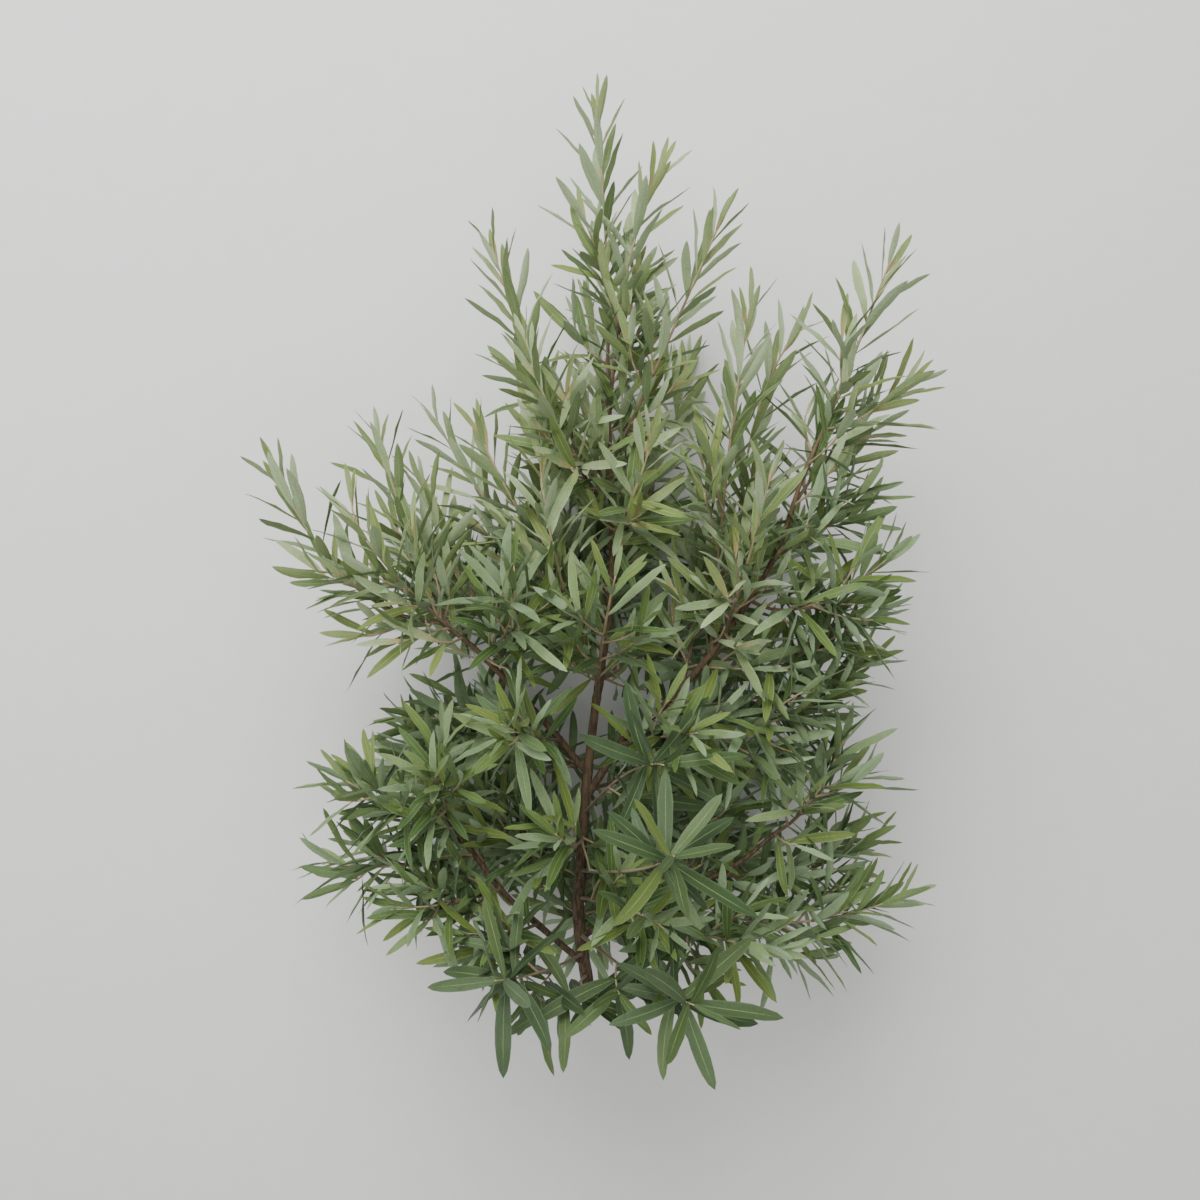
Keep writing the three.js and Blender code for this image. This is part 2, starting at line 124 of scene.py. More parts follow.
class Habit(Enum):
    """The three ways in which the plant's twigs are leafed."""

    YOUNG = HabitSizes(0.06, 6.8, (66, 48, 18), 62, 6.9, (-0.14, -0.04), 28, 0.2,
                       ((0.2, 0.42), (0.35,)), (0.04, 0.12, 0.22, 0.34), 0.15, Slot.YOUNG)
    SPREADING = HabitSizes(0.15, 5.2, (80, 57, 24), 62, 6.8, (-0.16, -0.03), 40, 0.3,
                           ((0.36, 0.58), (0.46,)), (0.04, 0.11, 0.19, 0.28, 0.4, 0.52, 0.66), 0.22,
                           Slot.LEAF)
    WHORLED = HabitSizes(0.8, 3, (98, 80, 38), 77, 5.6, (-0.12, -0.02), 0, 0,
                         ((), ()), (0.2, 0.4, 0.62), 0.3, Slot.LOW)


@dataclass(frozen=True)
class Branch:
    """One branch of old wood: its radius at both ends and the places it runs through, in mm."""

    start: float
    end: float
    through: tuple[Triple, ...]

    def point(self, share: float) -> Vector:
        """Gives the place at a share of the way.

        Args:
            share: From 0 at the foot to 1 at the end.

        Returns:
            The place on the branch's axis in mm.
        """
        places = [Vector(place) for place in self.through]
        last = len(places) - 1
        step = min(max(share * last, 0.0), float(last))
        first = min(int(step), last - 1)
        part = step - first
        before = places[first - 1] if first > 0 else places[0] * 2 - places[1]
        after = places[first + 2] if first + 2 <= last else places[last] * 2 - places[last - 1]
        here, there = places[first], places[first + 1]
        leave, arrive = (there - before) * 0.5, (after - here) * 0.5
        return (here + leave * part + (there * 3 - here * 3 - leave * 2 - arrive) * part**2
                + (here * 2 - there * 2 + leave + arrive) * part**3)

    def direction(self, share: float) -> Vector:
        """Gives the unit direction of growth at a share of the way."""
        return (self.point(min(share + 0.002, 1)) - self.point(max(share - 0.002, 0))).normalized()


WOOD: dict[str, Branch] = {
    "trunk": Branch(5.6, 2.2, ((0, 0, 0), (-12, 82, 0), (-10, 139, 0), (-6, 201, 0), (2, 278, 0),
                               (9, 326, 0), (17, 395, 0), (18, 458, 0), (14, 576, 0))),
    "left_limb": Branch(3.4, 1.9, ((-5, 227, 0), (-48, 282, 12), (-101, 343, 30), (-133, 371, 42))),
    "right_limb": Branch(3.8, 1.9, ((-4, 205, 0), (31, 262, 12), (60, 288, 22), (106, 343, 40),
                                    (157, 425, 52), (181, 500, 64))),
    "low_left_limb": Branch(3.2, 1.8, ((-7, 44, 0), (-75, 114, 22), (-106, 158, 32),
                                       (-132, 199, 42))),
    "low_right_limb": Branch(3.2, 1.8, ((-9, 72, 0), (62, 111, 15), (125, 145, 30),
                                        (164, 180, 40))),
}


@dataclass(frozen=True)
class ShootPlan:
    """Where one leafy twig grows.

    Attributes:
        name: Its name.
        branch: The branch that carries it.
        at: Where it leaves the branch, from 0 at the foot to 1 at the end.
        over: The place halfway, in mm.
        tip: The place of its tip, in mm.
        habit: How it is leafed.
    """

    name: str
    branch: str
    at: float
    over: Triple
    tip: Triple
    habit: Habit


YOUNG, SPREADING, WHORLED = Habit.YOUNG, Habit.SPREADING, Habit.WHORLED
SHOOTS: tuple[ShootPlan, ...] = tuple(ShootPlan(*row) for row in (
    ("leader", "trunk", 1, (13, 695, 5), (4, 815, 10), YOUNG),
    ("right_of_leader", "trunk", 0.96, (30, 670, 25), (60, 760, 32), YOUNG),
    ("upper_right", "trunk", 0.93, (55, 590, 40), (110, 715, 50), YOUNG),
    ("upper_left", "trunk", 0.885, (-30, 545, 30), (-85, 695, 42), YOUNG),
    ("upper_left_front", "trunk", 0.905, (-22, 530, 60), (-55, 610, 80), YOUNG),
    ("top_front", "trunk", 0.85, (35, 480, 70), (50, 530, 100), YOUNG),
    ("right_tall", "right_limb", 0.6, (116, 515, 75), (135, 645, 72), YOUNG),
    ("right_inner", "right_limb", 0.68, (140, 530, 20), (185, 630, 10), YOUNG),
    ("right_high", "right_limb", 1, (210, 575, 80), (245, 675, 95), YOUNG),
    ("right_fork", "right_limb", 0.93, (222, 535, 50), (275, 580, 60), YOUNG),
    ("right_middle", "right_limb", 0.8, (190, 455, 70), (235, 490, 82), SPREADING),
    ("right_wide", "right_limb", 0.72, (185, 390, 85), (250, 435, 105), SPREADING),
    ("right_low_wide", "right_limb", 0.56, (175, 345, 60), (250, 385, 72), SPREADING),
    ("right_under", "right_limb", 0.43, (155, 305, 40), (245, 340, 50), SPREADING),
    ("right_foot", "right_limb", 0.28, (140, 280, 55), (220, 320, 66), SPREADING),
    ("right_centre", "right_limb", 0.5, (100, 420, -15), (105, 530, -30), YOUNG),
    ("right_front", "right_limb", 0.64, (130, 430, 110), (145, 505, 140), YOUNG),
    ("low_right_tip", "low_right_limb", 1, (195, 215, 55), (220, 270, 62), SPREADING),
    ("low_right_far", "low_right_limb", 0.29, (170, 90, 20), (285, 120, 30), SPREADING),
    ("low_right_mid", "low_right_limb", 0.59, (185, 135, 0), (260, 160, -10), SPREADING),
    ("low_right_front", "low_right_limb", 0.13, (95, 100, 80), (165, 100, 120), SPREADING),
    ("front_rosette", "trunk", 0.24, (35, 170, 120), (65, 210, 215), WHORLED),
    ("low_front_rosette", "trunk", 0.11, (42, 72, 110), (83, 80, 190), WHORLED),
    ("left_front_rosette", "trunk", 0.08, (-45, 70, 90), (-80, 85, 150), WHORLED),
    ("foot_front", "trunk", 0.05, (-15, 45, 60), (-25, 48, 95), WHORLED),
    ("centre_front", "trunk", 0.54, (10, 360, 70), (20, 420, 135), SPREADING),
    ("left_tip", "left_limb", 1, (-205, 405, 60), (-270, 505, 72), YOUNG),
    ("left_rear", "left_limb", 0.9, (-155, 430, 25), (-190, 535, 15), YOUNG),
    ("left_twig", "left_limb", 0.78, (-178, 430, 84), (-200, 480, 98), YOUNG),
    ("left_front", "left_limb", 0.62, (-70, 375, 70), (-65, 425, 95), SPREADING),
    ("upper_left_low", "trunk", 0.7, (-50, 445, 20), (-100, 540, 25), YOUNG),
    ("upper_left_wide", "trunk", 0.65, (-80, 450, -25), (-145, 550, -40), YOUNG),
    ("left_centre", "trunk", 0.575, (-30, 425, 60), (-45, 530, 55), YOUNG),
    ("left_limb_top", "left_limb", 0.48, (-110, 395, -10), (-160, 495, -30), YOUNG),
    ("low_left_tip", "low_left_limb", 1, (-170, 210, 60), (-220, 240, 72), SPREADING),
    ("low_left_up", "low_left_limb", 0.88, (-130, 235, 85), (-125, 280, 110), SPREADING),
    ("low_left_flat", "low_left_limb", 0.67, (-170, 150, 40), (-240, 155, 45), SPREADING),
    ("low_left_front", "low_left_limb", 0.4, (-125, 125, 70), (-170, 130, 95), SPREADING),
    ("mid_left_flat", "left_limb", 0.33, (-115, 270, -30), (-180, 270, -45), SPREADING),
    ("low_left_inner", "low_left_limb", 0.2, (-75, 95, 60), (-110, 105, 90), SPREADING),
    ("mid_left_front", "trunk", 0.31, (-15, 175, 60), (-30, 200, 115), SPREADING),
    ("mid_right_front", "right_limb", 0.17, (60, 275, 75), (88, 290, 130), SPREADING),
    ("centre_low_front", "trunk", 0.35, (30, 245, 85), (60, 265, 140), WHORLED),
    ("left_mid_front", "left_limb", 0.19, (-55, 275, 70), (-75, 295, 120), SPREADING),
    ("low_centre_front", "trunk", 0.18, (35, 125, 90), (60, 130, 150), SPREADING),
    ("low_left_rear", "low_left_limb", 0.54, (-125, 200, -20), (-170, 262, -35), SPREADING),
    ("low_centre_left", "trunk", 0.225, (-60, 160, 25), (-98, 222, 40), SPREADING),
    ("low_right_inner", "low_right_limb", 0.42, (100, 170, 20), (120, 240, 25), SPREADING),
    ("back_top", "trunk", 0.87, (10, 550, -70), (-5, 660, -110), YOUNG),
    ("back_upper_left", "trunk", 0.74, (-30, 470, -90), (-60, 585, -135), YOUNG),
    ("back_upper_right", "trunk", 0.79, (65, 505, -85), (95, 605, -134), YOUNG),
    ("back_left", "trunk", 0.61, (-100, 370, -100), (-190, 425, -137), SPREADING),
    ("back_right", "trunk", 0.59, (115, 365, -100), (205, 440, -137), SPREADING),
    ("back_centre", "trunk", 0.67, (20, 415, -110), (35, 500, -138), SPREADING),
    ("back_mid_left", "trunk", 0.42, (-110, 230, -100), (-205, 200, -137), SPREADING),
    ("back_mid_right", "trunk", 0.39, (105, 210, -100), (210, 205, -137), SPREADING),
    ("back_low_left", "trunk", 0.27, (-90, 125, -100), (-175, 105, -137), SPREADING),
    ("back_low_right", "trunk", 0.21, (85, 125, -100), (170, 85, -137), SPREADING),
    ("back_foot", "trunk", 0.145, (0, 75, -95), (30, 115, -138), SPREADING),
))


class SeededDraw:
    """Seeded draws between 0 and 1, the same as those that grow the solids."""

    MASK, STEP, RANGE = 0xFFFFFFFF, 0x6D2B79F5, 0x100000000

    def __init__(self, seed: int) -> None:
        """Starts the draws.

        Args:
            seed: Whole number that fixes every draw.
        """
        self.state = seed & self.MASK

    def __call__(self) -> float:
        """Draws the next number.

        Returns:
            The number, from 0 up to 1.
        """
        self.state = (self.state + self.STEP) & self.MASK
        mixed = self.state
        mixed = ((mixed ^ (mixed >> 15)) * (mixed | 1)) & self.MASK
        mixed ^= (mixed + (((mixed ^ (mixed >> 7)) * (mixed | 61)) & self.MASK)) & self.MASK
        return ((mixed ^ (mixed >> 14)) & self.MASK) / self.RANGE


def mix(start: float, end: float, share: float) -> float:
    """Returns the number at a share of the way between two others."""
    return start + (end - start) * share


def three_way(values: Triple, share: float) -> float:
    """Returns the number at a share of the way over a foot, a middle and a tip value."""
    foot, middle, tip = values
    return mix(foot, middle, share * 2) if share < 0.5 else mix(middle, tip, share * 2 - 1)


def across(direction: Vector, along: Vector) -> Vector:
    """Returns a direction less its part along a unit vector, as a unit vector."""
    return (direction - along * direction.dot(along)).normalized()


@dataclass
class Station:
    """A place on a twig with its direction and two cross directions."""

    centre: Vector
    direction: Vector
    side: Vector
    other: Vector

    def lean(self, angle: float, turn: float) -> Vector:
        """Returns a unit vector at an angle to the twig, turned round it, both in radians."""
        return (self.direction * math.cos(angle) + self.side * (math.sin(angle) * math.cos(turn))
                + self.other * (math.sin(angle) * math.sin(turn)))


class Twig:
    """One twig on a curve from its foot through a place on its way to its tip."""

    def __init__(self, foot: Vector, over: Vector, tip: Vector, radius: float,
                 first: float) -> None:
        """Measures the curve in equal chords.

        Args:
            foot: Where the twig leaves its branch, on the branch's axis.
            over: The place halfway.
            tip: The twig's end.
            radius: Radius at the foot in mm.
            first: How young the wood is at the foot, from 0 to 1.
        """
        self.foot, self.tip, self.radius, self.first = foot, tip, radius, first
        self.control = over * 2 - foot * 0.5 - tip * 0.5
        self.marks = [0.0]
        for i in range(1, CHORDS + 1):
            chord = (self.point(i / CHORDS) - self.point((i - 1) / CHORDS)).length
            self.marks.append(self.marks[-1] + chord)
        heading = (tip - foot).normalized()
        self.reference = heading.cross(RIGHT if abs(heading.z) > 0.8 else SKY)
        self.length = self.marks[-1]

    def point(self, share: float) -> Vector:
        """Returns the place on the curve at a share of its parameter."""
        rest = 1 - share
        return self.foot * rest**2 + self.control * (2 * rest * share) + self.tip * share**2

    def station(self, distance: float) -> Station:
        """Finds the place at a distance along the twig.

        Args:
            distance: From the foot, in mm.

        Returns:
            The place and its directions.
        """
        i = 1
        while i < CHORDS and self.marks[i] < distance:
            i += 1
        part = (distance - self.marks[i - 1]) / (self.marks[i] - self.marks[i - 1])
        share = (i - 1 + part) / CHORDS
        ahead, behind = min(share + 0.0001, 1), max(share - 0.0001, 0)
        direction = (self.point(ahead) - self.point(behind)).normalized()
        side = across(self.reference, direction)
        return Station(self.point(share), direction, side, side.cross(direction))


@dataclass
class Leaf:
    """Where one leaf sits, how it lies, and how young it is."""

    root: Vector
    direction: Vector
    face: Vector
    length: float
    width: float
    curl: float
    young: float

    def at(self, share: float) -> Vector:
        """Returns the place on the blade at a share of its length."""
        ahead = self.direction * (self.length * share)
        return self.root + ahead + self.face * (self.curl * self.length * share**2)


class BareWood:
    """Old wood that stays in sight from the front, because few leaves hang before it."""

    STEPS = 48  # places that measure a branch
    ALONG = (0.2, 0.4, 0.6, 0.8, 1.0)  # places that measure a leaf
    BESIDE = 0.35  # a leaf's reach beside its middle, as a share of its width

    def __init__(self, names: tuple[str, ...], lowest: float, highest: float) -> None:
        """Measures the wood.

        Args:
            names: The branches.
            lowest: Height up the plant in mm where it starts.
            highest: Height where it ends.
        """
        rows = []
        for branch in (WOOD[name] for name in names):
            for share in (i / self.STEPS for i in range(self.STEPS + 1)):
                place = branch.point(share)
                if lowest < place.y < highest:
                    radius = mix(branch.start, branch.end, share)
                    rows.append((*self.seen(place), radius, place.z))
        self.x, self.y, self.radius, self.z = np.array(rows).T

    @staticmethod
    def seen(place: Vector) -> tuple[float, float]:
        """Returns where a place shows on the stem's plane when looked at from the front."""
        there = EYE + (place - EYE) * (EYE.z / (EYE.z - place.z))
        return there.x, there.y

    def hidden_by(self, leaf: Leaf) -> bool:
        """Says whether a leaf hangs before the wood.

        Args:
            leaf: The leaf.

        Returns:
            True where it does.
        """
        for place in map(leaf.at, self.ALONG):
            x, y = self.seen(place)
            near = np.hypot(self.x - x, self.y - y) < self.radius + leaf.width * self.BESIDE
            if np.any(near & (self.z < place.z)):
                return True
        return False


@dataclass(frozen=True)
class LeafSpread:
    """How far the draws take a leaf from the rule, to either side.

    Attributes:
        shift: Along the twig, in spaces between leaves.
        spin: Round the twig, in radians.
        tilt: Away from the twig, in degrees.
        growth: In length, as a share of it.
        roll: Round the leaf's own axis, in radians.
        bend: In curl, as a share of the length.
    """

    shift: float = 0.3
    spin: float = 0.3
    tilt: float = 9
    growth: float = 0.12
    roll: float = 0.45
    bend: float = 0.05


@dataclass(frozen=True)
class FillerSizes:
    """Sizes of the side twigs that only the look has.

    Attributes:
        shift: Spread of their places, as a share of the twig.
        reach: Shortest and longest, as a share of the twig.
        longest: The longest twig that counts, in mm.
        taper: What is left of that reach at the twig's foot and at its tip.
        fork: Smallest and largest angle to the twig, in degrees.
        kept: Share of its leaves that a filler has to keep.
        own: One in so many of the twig's own leaves may hang before the stem.
    """

    shift: float = 0.08
    reach: tuple[float, float] = (0.24, 0.36)
    longest: float = 200
    taper: tuple[float, float] = (0.8, 0.6)
    fork: tuple[float, float] = (30, 62)
    kept: float = 0.6
    own: int = 5


class GrowthRule:
    """Grows the twigs and leaves of one shoot, draw by draw as the solids are grown."""

    STEM = BareWood(("trunk",), 25, 400)
    LIMBS = BareWood(tuple(WOOD), 25, 560)
    SPREAD = LeafSpread()
    FILLERS = FillerSizes()
    THIN, THICK, SIDE = 1.6, 1.9, 1.1  # radii of twigs at the foot, in mm
    LONG = 180  # length in mm from which a twig is thick
    FORKED = 150  # length from which it has the longer row of side twigs
    SWING = 1.6  # spread of the side twigs' turns, in radians
    FEWEST = 6  # leaves on a twig
    LAST = 0.995  # share of the twig where its last leaf can sit
    LIFT, FACE_UP = 0.1, 0.5  # pull of the leaves and of their faces up the plant
    CLEAR = 3  # mm over the surface; a leaf that would dip lower is laid flat
    LAID, STEEPEST = 1.2, 0.9  # height of a laid leaf's tip in mm, and its largest slope
    TWIG_CLEAR = 6  # mm over the surface that side twigs keep

    def __init__(self, plan: ShootPlan, index: int) -> None:
        """Grows the shoot.

        Args:
            plan: Where the shoot grows and how it is leafed.
            index: Its number in the list of shoots, which seeds its draws.
        """
        self.draw = SeededDraw(GROWTH_SEED * (index + 1))
        self.sizes: HabitSizes = plan.habit.value
        foot = WOOD[plan.branch].point(plan.at)
        main = Twig(foot, Vector(plan.over), Vector(plan.tip), self.THIN, 0.0)
        main.radius = self.THICK if main.length > self.LONG else self.THIN
        self.twigs = [main]
        self.leaves: list[Leaf] = []
        self.leaf_out(main, self.sizes.bare, 0, self.draw() * FULL_TURN)
        for i, share in enumerate(self.sizes.sides[0 if main.length > self.FORKED else 1]):
            place = main.station(main.length * (share + (self.draw() - 0.5) * 0.06))
            turn = i * math.pi + (self.draw() - 0.5) * self.SWING
            reach = main.length * (self.sizes.reach + self.draw() * 0.1) * (1 - 0.3 * i)
            self.side_twig(place, math.radians(self.sizes.fork), turn, reach)
        own = len(self.leaves)
        self.fill_in(main, index)
        self.leaves[:own] = [leaf for i, leaf in enumerate(self.leaves[:own])
                             if i % self.FILLERS.own == 0 or not self.STEM.hidden_by(leaf)]

    def fill_in(self, main: Twig, index: int) -> None:
        """Grows the further side twigs that only the look has, inside the box of the solids.

        Args:
            main: The twig that carries them.
            index: The shoot's number, which seeds the draws.
        """
        sizes = self.FILLERS
        self.draw = SeededDraw(FILLER_SEED + 31 * index)
        for i, share in enumerate(self.sizes.fillers):
            place = main.station(main.length * (share + (self.draw() - 0.5) * sizes.shift))
            turn = i * GOLDEN_TURN + self.draw() * 2
            reach = mix(*sizes.reach, self.draw()) * min(main.length, sizes.longest)
            reach *= mix(*sizes.taper, share)
            before = len(self.leaves)
            self.side_twig(place, math.radians(mix(*sizes.fork, self.draw())), turn, reach)
            grown = self.leaves[before:]
            kept = [leaf for leaf in grown
                    if PartFrame.holds(leaf.at(1)) and not self.LIMBS.hidden_by(leaf)]
            if len(kept) < sizes.kept * len(grown):
                self.twigs.pop()
                kept = []
            self.leaves[before:] = kept

    def side_twig(self, place: Station, angle: float, turn: float, reach: float) -> None:
        """Grows one short side twig with its leaves.

        Args:
            place: Where it leaves its twig.
            angle: Its angle to that twig.
            turn: Its turn round that twig.
            reach: How far it reaches, in mm.
        """
        out = place.lean(angle, turn)
        end = place.centre + out * (reach * 0.86) + place.direction * (reach * 0.2)
        middle = place.centre + out * (reach * 0.5)
        for spot in (end, middle):
            spot.z = max(spot.z, FLOOR + self.TWIG_CLEAR)
        side = Twig(place.centre, middle, end, self.SIDE, 0.5)
        self.twigs.append(side)
        self.leaf_out(side, 0.12, 0.3, self.draw() * FULL_TURN)

    @staticmethod
    def full_length(along: float) -> float:
        """Returns a leaf's length as a share of the longest, by its place from foot to tip."""
        return mix(0.72, 1, along / 0.6) if along < 0.6 else 1 - 0.5 * ((along - 0.6) / 0.4) ** 2

    def leaf_out(self, twig: Twig, bare: float, first: float, phase: float) -> None:
        """Sets every leaf of one twig.

        Args:
            twig: The twig that carries them.
            bare: Its share without leaves.
            first: How far up the shoot its first leaf counts, from 0 to 1.
            phase: Turn of the first leaf round the twig.
        """
        sizes, spread = self.sizes, self.SPREAD
        leafy = twig.length * (1 - bare)
        count = max(self.FEWEST, math.floor(leafy / sizes.space + 0.5))
        for i in range(count):
            shift, spin, tilt, growth, roll, bend = (self.draw() * 2 - 1 for _ in range(6))
            along = mix(first, 1, (i + 0.5) / count)
            distance = twig.length * bare + leafy * (i + 0.5 + shift * spread.shift) / count
            place = twig.station(min(distance, twig.length * self.LAST))
            angle = math.radians(three_way(sizes.angles, along) + tilt * spread.tilt)
            root = place.centre
            turn = i * GOLDEN_TURN + phase + spin * spread.spin
            direction = (place.lean(angle, turn) + PLANT_UP * self.LIFT).normalized()
            length = sizes.longest * self.full_length(along) * (1 + growth * spread.growth)
            face = across(across(place.direction, direction) + PLANT_UP * self.FACE_UP, direction)
            face.rotate(Quaternion(direction, roll * spread.roll))
            curl = mix(*sizes.curls, along) + bend * spread.bend
            if root.z + length * (direction.z + curl * face.z) < FLOOR + self.CLEAR:
                fall = max(-self.STEEPEST, (FLOOR + self.LAID - root.z) / length)
                flat = math.sqrt(1 - fall * fall) / (math.hypot(direction.x, direction.y) or 1)
                direction = Vector((direction.x * flat, direction.y * flat, fall)).normalized()
                face = across(SKY, direction)
                curl = 0.0
            width = length / sizes.slender
            self.leaves.append(Leaf(root, direction, face, length, width, curl, along))


def clear_selection() -> None:
    """Leaves edit mode if it is on and deselects every object."""
    if bpy.context.mode != "OBJECT":
        bpy.ops.object.mode_set(mode="OBJECT")
    bpy.ops.object.select_all(action="DESELECT")


def select_only(thing: bpy.types.Object) -> None:
    """Makes one object the only selected and the active one.

    Args:
        thing: The object.
    """
    clear_selection()
    thing.select_set(True)
    bpy.context.view_layer.objects.active = thing


def apply_modifier(thing: bpy.types.Object, kind: str, **settings: object) -> None:
    """Adds a modifier with its settings and applies it.

    Args:
        thing: The object that takes it.
        kind: Blender's name for the modifier.
        settings: Its values by name.
    """
    modifier = thing.modifiers.new(kind.title(), kind)
    for key, value in settings.items():
        setattr(modifier, key, value)
    select_only(thing)
    bpy.ops.object.modifier_apply(modifier=modifier.name)


def pick_vertices(thing: bpy.types.Object, wanted: Callable[[Vector], bool]) -> None:
    """Selects, in edit mode, the vertices whose place passes a test.

    Args:
        thing: The object being edited.
        wanted: Takes a vertex's place and says whether it is picked.
    """
    bpy.ops.object.mode_set(mode="OBJECT")
    mesh = thing.data
    for polygon in mesh.polygons:
        polygon.select = False
    for edge in mesh.edges:
        edge.select = False
    for vertex in mesh.vertices:
        vertex.select = wanted(vertex.co)
    bpy.ops.object.mode_set(mode="EDIT")
    bpy.ops.mesh.select_mode(type="VERT")


def places_of(thing: bpy.types.Object) -> np.ndarray:
    """Reads the places of an object's vertices.

    Args:
        thing: The object.

    Returns:
        One row of x, y and z for each vertex.
    """
    places = np.empty(len(thing.data.vertices) * 3)
    thing.data.vertices.foreach_get("co", places)
    return places.reshape(-1, 3)


def map_layer(mesh: bpy.types.Mesh) -> bpy.types.MeshUVLoopLayer:
    """Finds or adds a mesh's one map, under the name that the finishes read.

    Args:
        mesh: The mesh.

    Returns:
        The map.
    """
    layer = mesh.uv_layers.active or mesh.uv_layers.new(name=BLADE_MAP)
    layer.name = BLADE_MAP
    return layer


def dress(thing: bpy.types.Object, *finishes: bpy.types.Material) -> None:
    """Gives an object its finishes.

    Args:
        thing: The object.
        finishes: Its materials, in the order of their slots.
    """
    thing.data.materials.clear()
    for finish in finishes:
        thing.data.materials.append(finish)


def colour_corners(thing: bpy.types.Object, by_vertex: np.ndarray,
                   underside: np.ndarray | None = None) -> None:
    """Stores the growth attribute that the finishes read.

    Args:
        thing: The object that takes it.
        by_vertex: A tint, a youth and a silveriness for each vertex.
        underside: 1 for each face that is a leaf's underside, or None.
    """
    mesh = thing.data
    corners = np.empty(len(mesh.loops), dtype=np.int32)
    mesh.loops.foreach_get("vertex_index", corners)
    colours = np.zeros((len(corners), 4), dtype=np.float32)
    colours[:, (0, 1, 3)] = by_vertex[corners]
    if underside is not None:
        totals = np.empty(len(mesh.polygons), dtype=np.int32)
        mesh.polygons.foreach_get("loop_total", totals)
        colours[:, 2] = np.repeat(underside, totals)
    stored = mesh.color_attributes.get(LOOK_ATTRIBUTE) or mesh.color_attributes.new(
        LOOK_ATTRIBUTE, "FLOAT_COLOR", "CORNER")
    stored.data.foreach_set("color", colours.ravel())


@dataclass
class BladePattern:
    """The leaf blade that every leaf is a copy of: 1 long, 2 wide, and folded along its midrib.

    Attributes:
        stations: Places along the blade where it has a row of points.
        edge_rise: Height of its edges over the axis in mm.
        rib_top: Height of the midrib's upper side in mm.
        rib_bottom: Height of its underside in mm.
        root_width: Its width at the root, as a share of the widest.
        gap: Distance between its two faces before they are bent.
        near: Distance within which a point belongs to a row.
    """

    stations: tuple[float, ...] = (0.0, 0.06, 0.17, 0.33, 0.5, 0.66, 0.8, 0.92, 1.0)
    edge_rise: float = 1.1
    rib_top: float = -0.15
    rib_bottom: float = -0.5
    root_width: float = 0.1
    gap: float = 0.001
    near: float = 1e-4
    shape: bpy.types.Object = field(init=False)

    @staticmethod
    def outline(along: float) -> float:
        """Returns the blade's half width at a share of its length, as a share of the widest."""
        return max(4 * along * (1 - along), 0) ** 0.88 * (1 + 0.08 * (2 * along - 1))

    def lift(self, row: float, height: float, wanted: Callable[[Vector], bool]) -> None:
        """Raises the points of one row that pass a test.

        Args:
            row: The row's place along the blade.
            height: How far they go up.
            wanted: Takes a point's place and says whether it goes up.
        """
        pick_vertices(self.shape, lambda place: abs(place.x - row) < self.near and wanted(place))
        bpy.ops.transform.translate(value=(0, 0, height))

    def model(self) -> None:
        """Models the blade: a grid's rows moved and narrowed, a lower face added, rims merged."""
        clear_selection()
        steps = len(self.stations) - 1
        bpy.ops.mesh.primitive_grid_add(x_subdivisions=steps, y_subdivisions=2, size=2)
        self.shape = blade = bpy.context.active_object
        blade.name = "blade_pattern"
        aside = 10  # keeps the rows that are done clear of the others
        bpy.ops.object.mode_set(mode="EDIT")
        for i in reversed(range(steps + 1)):
            old = 2 * i / steps - 1
            pick_vertices(blade, lambda place, x=old: abs(place.x - x) < self.near)
            half = self.root_width if i == 0 else self.outline(self.stations[i])
            bpy.ops.transform.resize(value=(1, half, 1), center_override=(old, 0, 0))
            bpy.ops.transform.translate(value=(self.stations[i] + aside - old, 0, 0))
        bpy.ops.mesh.select_all(action="SELECT")
        bpy.ops.transform.translate(value=(-aside, 0, 0))
        bpy.ops.mesh.duplicate()
        bpy.ops.mesh.flip_normals()
        bpy.ops.transform.translate(value=(0, 0, -self.gap))
        for row in self.stations[1:-1]:
            bow = math.sin(math.pi * min(max(row, 0.04), 0.96))
            self.lift(row, self.rib_top * bow, lambda p: abs(p.y) < 1e-5 and p.z > -self.gap / 2)
            self.lift(row, self.rib_bottom * bow,
                      lambda p: abs(p.y) < 1e-5 and -1.5 * self.gap < p.z < -self.gap / 2)
            self.lift(row, self.edge_rise * bow, lambda p: abs(p.y) > 1e-5)
        bpy.ops.mesh.select_all(action="SELECT")
        bpy.ops.mesh.remove_doubles(threshold=4 * self.gap)
        bpy.ops.mesh.normals_make_consistent(inside=False)
        pick_vertices(blade, lambda place: abs(place.y) > 1e-3 or not 0.001 <= place.x <= 0.999)
        bpy.ops.mesh.mark_sharp()
        bpy.ops.object.mode_set(mode="OBJECT")
        self.lay_map()

    def lay_map(self) -> None:
        """Gives the blade its map, with the length along u and the width along v."""
        mesh = self.shape.data
        layer = map_layer(mesh)
        for corner, loop in enumerate(mesh.loops):
            place = mesh.vertices[loop.vertex_index].co
            half = max(self.outline(place.x), self.root_width)
            layer.data[corner].uv = (place.x, 0.5 + 0.5 * max(-1, min(1, place.y / half)))

    def underside(self) -> np.ndarray:
        """Returns 1 for each face that is the blade's underside and 0 for the others."""
        return np.array([0.0 if face.normal.z > 0 else 1.0 for face in self.shape.data.polygons])


